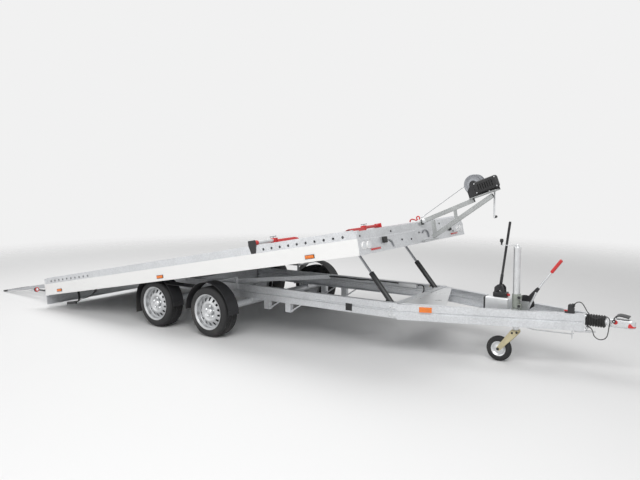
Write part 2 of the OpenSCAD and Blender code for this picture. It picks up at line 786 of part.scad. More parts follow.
// Long beams under the joists, with the bores of the tilt pins
module bed_beams() {
    color(galvanised) on_bed_frame() for (s = [-1, 1]) side(s) difference() {
        translate([bed_beam_u0, bed_beam_y0, 0])
            cube([bed_inner_len - bed_beam_u0, bed_beam_y1 - bed_beam_y0, beam_top]);
        translate([bed_beam_u0 - 1, bed_beam_y0 + beam_wall, beam_wall])
            cube([bed_inner_len - bed_beam_u0 + 2, bed_beam_y1 - bed_beam_y0 - 2 * beam_wall,
                  beam_top - 2 * beam_wall]);
        translate([pivot_u, bed_beam_y0 - 20, pivot_w]) rotate([-90, 0, 0])
            cylinder(d = pivot_d + 2 * fit, h = 120);
    }
}

// Cross members under the deck, and the forks that hold the lift cylinders' upper eyes
module bed_joists() {
    color(galvanised) on_bed_frame() {
        for (u = joist_u)
            translate([u, -bed_half + side_rail_t, beam_top])
                cube([joist_w, bed_width - 2 * side_rail_t, joist_h]);
        for (s = [-1, 1]) side(s) difference() {
            translate([strut_u - 30, cheek_in_y, strut_w - 24])
                cube([60, cheek_out_y + cheek_t - cheek_in_y, deck_under - strut_w + 24]);
            translate([strut_u - 31, cheek_in_y + cheek_t, strut_w - 25])
                cube([62, cheek_out_y - cheek_in_y - cheek_t, deck_under - strut_w + 25 - cheek_t]);
        }
    }
}

headboard_h = 200;

module headboard() {
    color(galvanised) on_bed_frame() {
        translate([bed_inner_len, -bed_half, 0]) cube([headboard_t, bed_width, headboard_h]);
        translate([bed_inner_len - 30, -bed_half + side_rail_t + 6, headboard_h - 6])
            cube([31, bed_width - 2 * side_rail_t - 12, 6]);
    }
}

rear_beam_h = 113;
ramp_pin_d = 16;

// Channel under the bed's rear end, the rear face plate, and the bars that the ramps hook on
module rear_beam() {
    color(galvanised) on_bed_frame() {
        translate([0, -bed_half, -rear_beam_h]) cube([5, bed_width, rear_beam_h]);
        translate([0, -bed_half, -rear_beam_h]) cube([60, bed_width, 5]);
        translate([0, -bed_half, -5]) cube([60, bed_width, 5]);
        translate([0, -bed_half + side_rail_t, -1]) cube([4, bed_width - 2 * side_rail_t, deck_top + 1]);
        for (s = [-1, 1]) side(s) {
            translate([ramp_hook_u, ramp_inner + ramp_width / 2, ramp_hook_w]) rotate([90, 0, 0])
                cylinder(d = ramp_pin_d, h = ramp_width + 8, center = true);
            for (y = [ramp_inner + 44, ramp_inner + ramp_width - 56])
                translate([ramp_hook_u - 10, y, ramp_hook_w - 12]) cube([10 - ramp_hook_u, 12, 24]);
        }
    }
}

marker_u = [313, 2200, bed_len - 514];
stalk_foot = [-11, bed_half - 20, 60];
stalk_top = [-66, bed_half + 75, 92];
stalk_lamp_d = 60;

module lamps() {
    on_bed_frame() {
        for (s = [-1, 1]) side(s) {
            color(white) translate([bed_len, bed_half - 105, 80]) rotate([0, 90, 0])
                cylinder(d = 60, h = 10);
            color(red) translate([bed_len, bed_half - 310, 28]) cube([4, 90, 16]);
            for (u = marker_u) color(orange)
                translate([u - 50, bed_half, 30]) cube([100, 10, 30]);
            color(black) stalk_lamp();
        }
    }
}

// Outline lamp on a rubber stalk that reaches out and back from the rear end of a side rail
module stalk_lamp() {
    reach = stalk_top - stalk_foot;
    translate([-10 - seat_gap, bed_half - 40, 20]) cube([10, 38, 80]);
    translate(stalk_foot) rotate([0, atan2(norm([reach[0], reach[1]]), reach[2]), 0]
        + [0, 0, atan2(reach[1], reach[0])]) cylinder(d = 20, h = norm(reach));
    translate(stalk_top - [22, 0, 0]) rotate([0, 90, 0]) cylinder(d = stalk_lamp_d, h = 44);
}

winch_axis = [bed_len + 587, 463];
winch_shaft = [bed_len + 730, 386];
winch_slope = 9.5;
winch_cheek_t = 4;
winch_cheek_in = winch_y - 32;
winch_cheek_out = winch_y + 52;
winch_pin_d = 16;
winch_shaft_d = 18;
winch_head = [bed_len + 535, 336];
winch_head_len = 268;
head_plate_t = 5;
stand_tube = 38;
stand_upper = [[bed_len + 1, 200], [bed_len + 562, 325]];
stand_lower = [[bed_len + 102, 44], [bed_len + 742, 340]];

// Triangular stand of square tube, with the plate that the winch is bolted to
module winch_stand() {
    color(galvanised) on_bed_frame() {
        xz_tube(stand_tube, stand_upper[0], stand_upper[1], winch_y);
        xz_tube(stand_tube, stand_lower[0], stand_lower[1], winch_y);
        translate([bed_len + 110, winch_y - 15, 50]) cube([30, 30, 150]);
        translate([bed_len + 350, winch_y - 12, 170]) cube([24, 24, 100]);
        translate([bed_len, winch_y - 60, 18]) cube([130, 120, 6]);
        translate([bed_len, winch_y - 40, 170]) cube([10, 80, 30]);
        translate([winch_head[0], winch_y - 62, winch_head[1]]) rotate([0, -winch_slope, 0])
            cube([winch_head_len, 124, head_plate_t]);
    }
}

// A rectangle with rounded corners, from its lower left corner
module rounded(w, h, r) {
    translate([r, 0]) square([w - 2 * r, h]);
    translate([0, r]) square([w, h - 2 * r]);
    for (x = [r, w - r], y = [r, h - r]) translate([x, y]) circle(r = r);
}

// Extrudes a shape in the XZ plane from y towards positive Y
module plate_at(y, t) {
    translate([0, y + t, 0]) rotate([90, 0, 0]) linear_extrude(t) children();
}

winch_cover_t = 40;
winch_cover = [bed_len + 614, 364];

// Side cheeks, base and gear cover, with the bores of drum and crank
module winch_frame() {
    color(black) on_bed_frame() difference() {
        union() {
            for (y = [winch_cheek_in - winch_cheek_t, winch_cheek_out]) plate_at(y, winch_cheek_t)
                difference() {
                    union() {
                        translate(winch_head) rotate(winch_slope) translate([0, head_plate_t])
                            square([winch_head_len, 70]);
                        translate(winch_axis) circle(d = 74);
                    }
                    translate(winch_axis) circle(d = winch_pin_d + 2 * fit);
                }
            translate([winch_head[0], 0, winch_head[1]]) rotate([0, -winch_slope, 0])
                translate([0, winch_cheek_in - 1, head_plate_t])
                    cube([winch_head_len, winch_cheek_out - winch_cheek_in + 2, 4]);
            plate_at(winch_cheek_in - winch_cheek_t - winch_cover_t, winch_cover_t + 1)
                translate(winch_cover) rotate(10) rounded(226, 116, 24);
        }
        y_rod(winch_shaft_d + 2 * fit, 400, winch_shaft[0], winch_y, winch_shaft[1]);
    }
}

winch_core_d = 75;

module winch_drum() {
    disc_t = 3;
    span = winch_cheek_out - winch_cheek_in - 12;
    mid = (winch_cheek_out + winch_cheek_in) / 2;
    color("#6d6f70") on_bed_frame() {
        for (e = [-1, 1])
            y_rod(winch_disc_d, disc_t, winch_axis[0], mid + e * (span - disc_t) / 2, winch_axis[1]);
        y_rod(winch_core_d, span, winch_axis[0], mid, winch_axis[1]);
        y_rod(winch_pin_d, winch_cheek_out - winch_cheek_in + 2 * winch_cheek_t - 1, winch_axis[0], mid,
              winch_axis[1]);
    }
}

module winch_crank() {
    arm_y = winch_cheek_out + 40;
    color(zinc) on_bed_frame() translate([winch_shaft[0], 0, winch_shaft[1]]) {
        translate([0, winch_cheek_in - 10, 0]) rotate([-90, 0, 0])
            cylinder(d = winch_shaft_d, h = arm_y + 8 - winch_cheek_in + 10);
        rotate([0, bed_tilt, 0]) {
            translate([-8, arm_y, -winch_crank_r]) cube([16, 8, winch_crank_r + 8]);
            y_rod(26, 56, 0, arm_y + 8 + 28, -winch_crank_r);
        }
    }
}

cable_d = 6;
cable_foot = [bed_len - 10, 231];
cable_run = [winch_axis[0] - cable_foot[0], winch_axis[1] - cable_foot[1]];
cable_off = (winch_core_d + cable_d) / 2 + seat_gap;
cable_angle = atan2(cable_run[1], cable_run[0]) + asin(cable_off / norm(cable_run));
cable_len = sqrt(pow(norm(cable_run), 2) - pow(cable_off, 2));

// Taut cable from the drum to a hook over the top edge of the headboard
module winch_cable() {
    color("#8f9294") on_bed_frame() {
        xz_bar(cable_d, cable_foot,
               [cable_foot[0] + cable_len * cos(cable_angle), cable_foot[1] + cable_len * sin(cable_angle)],
               winch_y);
        translate([bed_len - 28, winch_y, headboard_h + 22 + seat_gap]) rotate([90, 0, 0]) difference() {
            cylinder(d = 44, h = 14, center = true);
            cylinder(d = 24, h = 16, center = true);
            translate([-40, -40, -8]) cube([36, 34, 16]);
        }
    }
}

stop_u_left = bed_len - 1050;
stop_u_right = bed_len - 1160;
stop_tube_d = 46;
stop_inner_d = 36;
stop_sleeve_y = kerb_face - 153;
stop_w = side_rail_h + kerb_h + stop_tube_d / 2;
stop_shoe_top = deck_top + 112;
stop_shoe_y0 = kerb_face - 748;
stop_shoe_y1 = kerb_face - 343;
tongue_t = 6;

// Wheel stop: a sleeve on the kerb with a tongue down its outer face, a thinner tube that slides
// in it, a clamp, and a wedge of bent sheet that stands on the deck
module wheel_stop(s, u) {
    sleeve_y1 = kerb_face + seat_gap + tongue_t;
    color(red) on_bed_frame() side(s) translate([u, 0, 0]) {
        difference() {
            union() {
                translate([0, stop_sleeve_y, stop_w]) rotate([-90, 0, 0])
                    cylinder(d = stop_tube_d, h = sleeve_y1 - stop_sleeve_y);
                plate_at(kerb_face + seat_gap, tongue_t) polygon([
                    [-45, stop_w + 26], [45, stop_w + 26], [48, stop_w - 20], [26, side_rail_h + 10],
                    [10, side_rail_h + 2], [-10, side_rail_h + 2], [-26, side_rail_h + 10],
                    [-48, stop_w - 20]
                ]);
            }
            translate([0, stop_sleeve_y + 60, stop_w]) rotate([-90, 0, 0])
                cylinder(d = stop_inner_d, h = 200);
        }
        translate([0, stop_shoe_y1 + 5, stop_w]) rotate([-90, 0, 0])
            cylinder(d = stop_inner_d, h = stop_sleeve_y - stop_shoe_y1 - 4);
        translate([-26, stop_shoe_y1 + 20, stop_w - 24]) cube([52, 30, 48]);
        plate_at(stop_shoe_y1, 10)
            polygon([[-60, deck_top], [60, deck_top], [26, stop_w + 22], [-26, stop_w + 22]]);
        difference() {
            translate([0, stop_shoe_y1 + 1, 0]) rotate([90, 0, 0])
                linear_extrude(stop_shoe_y1 + 1 - stop_shoe_y0) polygon([
                    [-60, deck_top], [-52, deck_top], [-20, stop_shoe_top - 6],
                    [20, stop_shoe_top - 6], [52, deck_top], [60, deck_top],
                    [26, stop_shoe_top], [-26, stop_shoe_top]
                ]);
            translate([-70, 0, 0]) rotate([90, 0, 90]) linear_extrude(140) polygon([
                [stop_shoe_y0 - 1, stop_shoe_top - 34], [stop_shoe_y0 + 145, stop_shoe_top + 1],
                [stop_shoe_y0 - 1, stop_shoe_top + 1]
            ]);
        }
    }
}

module ramp(s) {
    beam_t = 30;
    rungs = 12;
    rung_pitch = (ramp_len - 100) / rungs;
    color(zinc) world() side(s) translate([ramp_hook[0], ramp_inner, ramp_hook[1]])
        mirror([1, 0, 0]) rotate([0, ramp_drop, 0]) difference() {
            union() {
                for (y = [0, ramp_width - beam_t]) translate([0, y + beam_t, 0]) rotate([90, 0, 0])
                    linear_extrude(beam_t) union() {
                        circle(r = 15);
                        polygon([
                            [0, 15], [12, -12], [30, 15 - ramp_depth], [ramp_len - 120, -ramp_tip_r],
                            [ramp_len, -ramp_tip_r], [ramp_len, ramp_tip_r], [60, 15]
                        ]);
                    }
                for (i = [0:rungs - 1]) translate([60 + i * rung_pitch, 1, -14])
                    cube([40, ramp_width - 2, 20]);
                translate([ramp_len, ramp_width / 2, 0]) rotate([90, 0, 0])
                    cylinder(r = ramp_tip_r, h = ramp_width, center = true);
            }
            translate([0, ramp_width / 2, 0]) rotate([90, 0, 0])
                cylinder(d = ramp_pin_d + 2 * fit, h = ramp_width + 2, center = true);
        }
}

rod_inside = 30;
head_pin_gap = 0.5;
barrel_floor = 45;

module barrel(s) {
    color(black) world() side(s) translate([strut_foot_x, strut_y, strut_foot_z])
        rotate([0, 90 - strut_angle, 0]) {
            difference() {
                union() {
                    translate([0, 0, 12]) cylinder(d = barrel_d, h = barrel_len - 12);
                    y_rod(36, barrel_d - 8, 0, 0, 0);
                }
                translate([0, 0, barrel_floor]) cylinder(d = piston_d + 2 * fit, h = barrel_len);
                y_rod(strut_pin_d + 2 * fit, barrel_d, 0, 0, 0);
            }
        }
}

module piston(s) {
    rod_start = barrel_len - rod_inside;
    color("#4b4e50") world() side(s) translate([strut_foot_x, strut_y, strut_foot_z])
        rotate([0, 90 - strut_angle, 0]) {
            translate([0, 0, rod_start]) cylinder(d = piston_d, h = strut_len - rod_start);
            y_rod(36, 40, 0, 0, strut_len);
            translate([0, bed_beam_y1 + cheek_t + head_pin_gap - strut_y, strut_len]) rotate([-90, 0, 0])
                cylinder(d = strut_pin_d, h = strut_y + barrel_d / 2 + clear - bed_beam_y1
                                              - cheek_t - 2 * head_pin_gap);
        }
}

module tyre(x, s) {
    half = tyre_w / 2;
    r = tyre_d / 2;
    bead = rim_d / 2 - 12;
    color(black) world() translate([x, s * (track_outer / 2 - half), wheel_z]) rotate([90, 0, 0])
        rotate_extrude() polygon([
            [bead, -half + 14], [rim_d / 2 + 4, -half + 2], [rim_d / 2 + 38, -half],
            [r - 16, -half + 8], [r - 3, -half + 26], [r, -half + 44],
            [r, -30], [r - 7, -28], [r - 7, -22], [r, -20],
            [r, 20], [r - 7, 22], [r - 7, 28], [r, 30],
            [r, half - 44], [r - 3, half - 26], [r - 16, half - 8],
            [rim_d / 2 + 38, half], [rim_d / 2 + 4, half - 2], [bead, half - 14]
        ]);
}

module rim(x, s) {
    half = tyre_w / 2;
    hub_z0 = axle_arm_y + axle_arm_t + 84 - (track_outer / 2 - half);
    bead = rim_d / 2 - 12 - seat_gap;
    flange = rim_d / 2;
    color("#b4b7b9") world() translate([x, s * (track_outer / 2 - half), wheel_z])
        rotate([s > 0 ? -90 : 90, 0, 0]) {
            translate([0, 0, hub_z0]) difference() {
                cylinder(d = 96, h = half - 40 - hub_z0);
                translate([0, 0, -1]) cylinder(d = stub_d + 2 * fit, h = half - 39 - hub_z0);
            }
            rotate_extrude() polygon([
                [bead, -half + 14], [flange, -half + 1], [flange, -half - 3],
                [bead - 6, -half + 6], [bead - 20, half - 24], [bead - 4, half - 6],
                [flange, half + 3], [flange, half - 1], [bead, half - 14]
            ]);
            difference() {
                rotate_extrude() polygon([
                    [33, half - 44], [60, half - 44], [84, half - 30], [132, half - 42],
                    [bead - 14, half - 52], [bead - 14, half - 46], [132, half - 35],
                    [84, half - 22], [58, half - 34], [40, half - 36], [40, half - 8],
                    [33, half - 4], [0, half - 4], [0, half - 10], [33, half - 10]
                ]);
                for (i = [0:rim_slots - 1]) rotate(i * 360 / rim_slots)
                    translate([128, 0, half - 60]) cube([34, 20, 60], center = true);
            }
        }
}

front_axle = axle_gap / 2;

rail(1);  // rail_left
rail(-1);  // rail_right
crossbeams();
drawbar(1);  // drawbar_left
drawbar(-1);  // drawbar_right
corner_plates();
axle(front_axle);  // axle_front
axle(-front_axle);  // axle_rear
mudguard(1);  // mudguard_left
mudguard(-1);  // mudguard_right
guard_brackets();
tilt_brackets();
rail_brackets();
hydraulic_pump();
jockey_clamp();
coupling_housing();
parking_socket();
electric_cable();
reflectors();
deck();
side_rail(1);  // side_rail_left
side_rail(-1);  // side_rail_right
kerb(1);  // kerb_left
kerb(-1);  // kerb_right
bed_beams();
bed_joists();
headboard();
rear_beam();
lamps();
winch_stand();
winch_frame();
wheel_stop(1, stop_u_left);  // wheel_stop_left
wheel_stop(-1, stop_u_right);  // wheel_stop_right
tyre(front_axle, 1);  // tyre_front_left
tyre(front_axle, -1);  // tyre_front_right
tyre(-front_axle, 1);  // tyre_rear_left
tyre(-front_axle, -1);  // tyre_rear_right
rim(front_axle, 1);  // rim_front_left
rim(front_axle, -1);  // rim_front_right
rim(-front_axle, 1);  // rim_rear_left
rim(-front_axle, -1);  // rim_rear_right
ramp(1);  // ramp_left
ramp(-1);  // ramp_right
barrel(1);  // barrel_left
barrel(-1);  // barrel_right
piston(1);  // piston_left
piston(-1);  // piston_right
pump_lever();
winch_drum();
winch_crank();
winch_cable();
jockey_post();
jockey_inner();
jockey_crank();
jockey_fork();
jockey_wheel();
brake_lever();
coupling_head();
coupling_bellows();
coupling_handle();
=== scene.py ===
# %% [markdown]
# A car transporter trailer with a tilting bed, dressed piece by piece.
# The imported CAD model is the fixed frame: every size and place below is in metres, in its axes,
# with X forwards to the coupling, Y to the trailer's left and Z up from the ground.

import bmesh
import bpy
import numpy as np
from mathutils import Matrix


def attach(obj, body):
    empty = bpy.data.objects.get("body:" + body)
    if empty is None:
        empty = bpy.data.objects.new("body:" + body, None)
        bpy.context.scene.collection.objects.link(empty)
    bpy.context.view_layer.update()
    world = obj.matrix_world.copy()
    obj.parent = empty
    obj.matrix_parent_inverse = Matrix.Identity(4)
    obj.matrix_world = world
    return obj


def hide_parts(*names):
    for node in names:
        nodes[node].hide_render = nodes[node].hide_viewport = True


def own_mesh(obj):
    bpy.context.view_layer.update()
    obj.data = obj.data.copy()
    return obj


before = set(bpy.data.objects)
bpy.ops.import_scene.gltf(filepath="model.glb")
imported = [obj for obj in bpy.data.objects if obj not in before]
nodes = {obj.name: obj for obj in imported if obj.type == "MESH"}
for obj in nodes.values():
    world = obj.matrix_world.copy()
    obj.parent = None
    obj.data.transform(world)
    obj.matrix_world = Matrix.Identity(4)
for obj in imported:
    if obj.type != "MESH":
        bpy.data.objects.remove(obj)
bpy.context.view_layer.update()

# %% [markdown]
# The bed is drawn level, as a maker would lay it out: u runs along it from its rear end, w upwards
# from the lower edge of its side rails. One turn and one shift bring a point to its tipped place.

# %% Places that the pieces share
TILT = np.radians(9.97)
PIVOT_X, PIVOT_U, PIVOT_W = -0.449, 1.943, 0.045
PIVOT_Z = 0.536
BED_X = PIVOT_X - (PIVOT_U * np.cos(TILT) - PIVOT_W * np.sin(TILT))
BED_Z = PIVOT_Z - (PIVOT_U * np.sin(TILT) + PIVOT_W * np.cos(TILT))
BED_LEN, BED_HALF = 4.7, 1.065
RAMP_LEN, RAMP_TIP = 1.58, 0.009
HOOK_U, HOOK_W = -0.02, 0.112
HOOK = (BED_X + HOOK_U * np.cos(TILT) - HOOK_W * np.sin(TILT),
    BED_Z + HOOK_U * np.sin(TILT) + HOOK_W * np.cos(TILT))
RAMP_DROP = np.arcsin((HOOK[1] - RAMP_TIP) / RAMP_LEN)
NOSE_X = 4.165
MID_X = (NOSE_X + HOOK[0] - RAMP_LEN * np.cos(RAMP_DROP) - RAMP_TIP) / 2
print("middle of the length:", round(MID_X, 5), "ramp drop:", round(np.degrees(RAMP_DROP), 3))


X, Y, Z = (1, 0, 0), (0, 1, 0), (0, 0, 1)


def on_bed(points):
    """Points (u, y, w) on the level bed, turned by the tilt about Y and shifted to the tipped bed."""
    u, y, w = np.moveaxis(np.asarray(points, float), -1, 0)
    return np.stack([BED_X + u * np.cos(TILT) - w * np.sin(TILT) - MID_X, y,
        BED_Z + u * np.sin(TILT) + w * np.cos(TILT)], -1)


ALONG_BED = on_bed([1, 0, 0]) - on_bed([0, 0, 0])


def on_chassis(points):
    """Points measured from midway between the axles, shifted to the model's origin."""
    return np.asarray(points, float) - [MID_X, 0, 0]


# %% [markdown]
# The camera stands where the photographer stood: its place, turn and lens were worked out from
# known lengths on the trailer. The lens is given as a focal length in pixels of a 640 pixel wide picture.

# %% Camera
EYE = np.array([4.9987, -5.4315, 1.6326])
YAW, PITCH, ROLL, FOCAL_PX = 0.6216, 0.1032, -0.0094, 634.47
forward = np.array([-np.sin(YAW) * np.cos(PITCH), np.cos(YAW) * np.cos(PITCH), -np.sin(PITCH)])
level_right = np.array([np.cos(YAW), np.sin(YAW), 0])
level_up = np.cross(level_right, forward)
right = level_right * np.cos(ROLL) + level_up * np.sin(ROLL)
up = -level_right * np.sin(ROLL) + level_up * np.cos(ROLL)

lens = bpy.data.cameras.new("photo_camera")
lens.sensor_fit = "HORIZONTAL"
lens.sensor_width = 36
lens.lens = FOCAL_PX / 640 * 36
lens.clip_end = 100
camera = bpy.data.objects.new("photo_camera", lens)
bpy.context.scene.collection.objects.link(camera)
pose = np.eye(4)
pose[:3, 0], pose[:3, 1], pose[:3, 2] = right, up, -forward
pose[:3, 3] = on_chassis(EYE)
camera.matrix_world = pose.T.tolist()
bpy.context.scene.camera = camera
print("lens:", round(lens.lens, 2), "mm, eye at", pose[:3, 3].round(3))

# %% [markdown]
# A shape is a pair: an array of points, and a list of faces that index them. Grids of points come
# from formulas of two parameters, so no loop ever runs over single points.


# %% Shapes from formulas
def mm(table):
    """Points written in millimetres, coordinates parted by commas and points by spaces, in metres."""
    return np.array([row.split(",") for row in table.split()], float) / 1000


def grid_faces(rows, columns, wrap_rows=False, wrap_columns=True):
    """Four-cornered faces of a grid of points: (i, j), (i, j+1), (i+1, j+1), (i+1, j)."""
    i = np.arange(rows if wrap_rows else rows - 1)[:, None]
    j = np.arange(columns if wrap_columns else columns - 1)[None, :]
    i2, j2 = (i + 1) % rows, (j + 1) % columns
    faces = np.stack([i * columns + j, i * columns + j2, i2 * columns + j2, i2 * columns + j], -1)
    return faces.reshape(-1, 4).tolist()


def capped(points):
    """A grid of points as a closed shape: four-cornered faces, and a cap at the first and last row."""
    rows, columns = points.shape[:2]
    first = np.arange(columns)
    caps = [first[::-1].tolist(), (first + (rows - 1) * columns).tolist()]
    return points.reshape(-1, 3), grid_faces(rows, columns) + caps


def flipped(shape):
    """The same points with every face turned over."""
    return shape[0], [face[::-1] for face in shape[1]]


def joined(*shapes):
    """One shape of many: the points one after another, each face's numbers raised by the points before."""
    starts = np.cumsum([0] + [len(points) for points, faces in shapes[:-1]])
    faces = [[k + int(s) for k in face] for (points, own), s in zip(shapes, starts) for face in own]
    return np.concatenate([points for points, own in shapes]), faces


def turned(profile, centre, axis, sides=48, wrap=False):
    """A surface of revolution: point = centre + h * axis + r * (cos t * a + sin t * b), for the
    profile's pairs (r, h), t from 0 to a full turn, and a, b at right angles to the axis."""
    axis = np.asarray(axis, float) / np.linalg.norm(axis)
    a = np.cross(axis, Z if abs(axis[2]) < 0.9 else X)
    a /= np.linalg.norm(a)
    b = np.cross(axis, a)
    r, h = np.asarray(profile, float).T
    t = np.arange(sides) * 2 * np.pi / sides
    ring = np.cos(t)[:, None] * a + np.sin(t)[:, None] * b
    points = np.asarray(centre) + h[:, None, None] * axis + r[:, None, None] * ring[None]
    return (points.reshape(-1, 3), grid_faces(len(r), sides, wrap_rows=True)) if wrap else capped(points)


def swept(outline, path, upright=Z, scale=1.0):
    """An outline carried along a path: point = path(s) + x * side(s) + y * top(s), where side is the
    cross product of the upright and the path's direction, and top completes the right angle."""
    path = np.asarray(path, float)
    along = np.gradient(path, axis=0)
    along /= np.linalg.norm(along, axis=1)[:, None]
    side = np.cross(upright, along)
    side /= np.linalg.norm(side, axis=1)[:, None]
    top = np.cross(along, side)
    size = np.broadcast_to(scale, len(path))[:, None, None]
    x, y = (np.asarray(outline, float)[:, k, None] * size for k in (0, 1))
    return capped(path[:, None] + x * side[:, None] + y * top[:, None])


def circle(radius, sides=12):
    """Points of a circle: radius * (cos t, sin t)."""
    t = np.arange(sides) * 2 * np.pi / sides
    return radius * np.stack([np.cos(t), np.sin(t)], -1)


def upright_line(line, y):
    """A flat line of pairs (x, z), set in the upright plane at y."""
    return np.insert(line, 1, y, axis=1)


def rod(radius, *path, sides=16, upright=Z):
    """A round bar through the given points."""
    return swept(circle(radius, sides), path, upright)


def pillar(radius, length, centre, axis, sides=24):
    """A plain round bar of a length from its centre point along the axis."""
    return turned([[0.001, 0], [radius, 0], [radius, length], [0.001, length]], centre, axis, sides)


def rounded_outline(width, height, radius, steps=5):
    """A rectangle about the middle with quarter circles at its corners."""
    t = np.linspace(0, np.pi / 2, steps)
    corner = radius * np.stack([np.cos(t), np.sin(t)], -1)
    turn = lambda k: corner @ np.array([[np.cos(k), np.sin(k)], [-np.sin(k), np.cos(k)]])
    centres = np.array([[1, 1], [-1, 1], [-1, -1], [1, -1]]) * [width / 2 - radius, height / 2 - radius]
    return np.concatenate([turn(k * np.pi / 2) + centres[k] for k in range(4)])


def soft_box(low, high, radius, steps=4):
    """A box with round edges: a sphere's points n * radius, each octant shifted to its own corner."""
    low, high = np.asarray(low, float), np.asarray(high, float)
    quarter = np.linspace(0, np.pi / 2, steps)
    around = np.concatenate([quarter + k * np.pi / 2 for k in range(4)])
    sign = np.repeat([[1, 1], [-1, 1], [-1, -1], [1, -1]], steps, 0)
    down = np.concatenate([quarter, quarter + np.pi / 2])
    sign_z = np.repeat([1, -1], steps)
    n = np.stack([np.sin(down)[:, None] * np.cos(around), np.sin(down)[:, None] * np.sin(around),
        np.cos(down)[:, None] * np.ones_like(around)], -1)
    octant = np.stack([np.broadcast_to(sign[:, 0], n.shape[:2]), np.broadcast_to(sign[:, 1], n.shape[:2]),
        np.broadcast_to(sign_z[:, None], n.shape[:2])], -1)
    half = (high - low) / 2
    points = (low + high) / 2 + radius * n + octant * (half - radius)
    return flipped(capped(points))


def plate(outline, origin, x_axis, y_axis, thickness):
    """A flat sheet: point = origin + x * x_axis + y * y_axis, and the same again a thickness further
    along the normal, which is the cross product of the two axes."""
    outline = np.asarray(outline, float)
    x_axis, y_axis = np.asarray(x_axis, float), np.asarray(y_axis, float)
    flat = np.asarray(origin, float) + outline[:, :1] * x_axis + outline[:, 1:] * y_axis
    normal = np.cross(x_axis, y_axis)
    return capped(np.stack([flat, flat + thickness * normal / np.linalg.norm(normal)]))


def placed(shape, move):
    """The same faces with every point sent through a function such as on_bed."""
    return move(shape[0]), shape[1]


def mirrored(shape, side):
    """The same shape for the left side, or its image in the middle plane, turned outwards again."""
    return shape if side > 0 else flipped((shape[0] * [1, -1, 1], shape[1]))


def smooth_outline(corners, radius=0.008, steps=5):
    """A polygon whose corners are cut back by the radius and bridged by a curve: the quadratic
    (1-s)^2 a + 2 s (1-s) corner + s^2 b through each corner."""
    corners = np.asarray(corners, float)
    before = np.roll(corners, 1, 0) - corners
    after = np.roll(corners, -1, 0) - corners

    def cut(edge):
        """The radius along an edge, and at most 0.45 of its length."""
        long = np.linalg.norm(edge, axis=1)[:, None]
        return edge / long * np.minimum(radius, long * 0.45)

    a, b = corners + cut(before), corners + cut(after)
    s = np.linspace(0, 1, steps)[None, :, None]
    return ((1 - s) ** 2 * a[:, None] + 2 * s * (1 - s) * corners[:, None]
        + s ** 2 * b[:, None]).reshape(-1, 2)


print("a test tube:", len(rod(0.01, (0, 0, 0), X)[0]), "points")

# %% [markdown]
# Every new piece becomes one mesh object. Points that fall together, as at a pole, are welded.
# Smooth shading with a limit on the angle keeps folds crisp, and a small bevel catches the light
# as a real edge does.


# %% Put a shape into the scene
def make(name, shape, finish, body, instead_of=(), bevel=0.0, sharp=35):
    """Makes the mesh object of a shape or a list of shapes, gives it its finish in its one slot, and
    ties it to its CAD body."""
    points, faces = joined(*shape) if isinstance(shape, list) else shape
    mesh = bpy.data.meshes.new(name)
    mesh.from_pydata(np.asarray(points).tolist(), [], faces)
    weld = bmesh.new()
    weld.from_mesh(mesh)
    bmesh.ops.remove_doubles(weld, verts=weld.verts, dist=1e-6)
    weld.to_mesh(mesh)
    weld.free()
    mesh.validate()
    mesh.polygons.foreach_set("use_smooth", np.ones(len(mesh.polygons), bool))
    mesh.set_sharp_from_angle(angle=np.radians(sharp))
    mesh.materials.append(finish)
    piece = bpy.data.objects.new(name, mesh)
    bpy.context.scene.collection.objects.link(piece)
    if bevel:
        edge = piece.modifiers.new("edges", "BEVEL")
        edge.width, edge.segments, edge.limit_method = bevel, 2, "ANGLE"
        edge.angle_limit = np.radians(30)
    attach(piece, body)
    if instead_of:
        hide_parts(*instead_of)
    print(f"{name}: {len(mesh.vertices)} points, {len(mesh.polygons)} faces")
    return piece


# %% [markdown]
# Finishes are built from a few nodes each. Noise on the object's own coordinates changes the colour
# and the roughness, and a bump gives the surface its fine grain, all at the real scale.


# %% A helper for the finishes
def node(tree, kind, inputs=None, **settings):
    """A new node with its settings; each input gets a value, or a link if it is given a socket."""
    made = tree.nodes.new("ShaderNode" + kind)
    for key, value in settings.items():
        setattr(made, key, value)
    for key, value in (inputs or {}).items():
        if isinstance(value, bpy.types.NodeSocket):
            tree.links.new(value, made.inputs[key])
        else:
            made.inputs[key].default_value = value
    return made


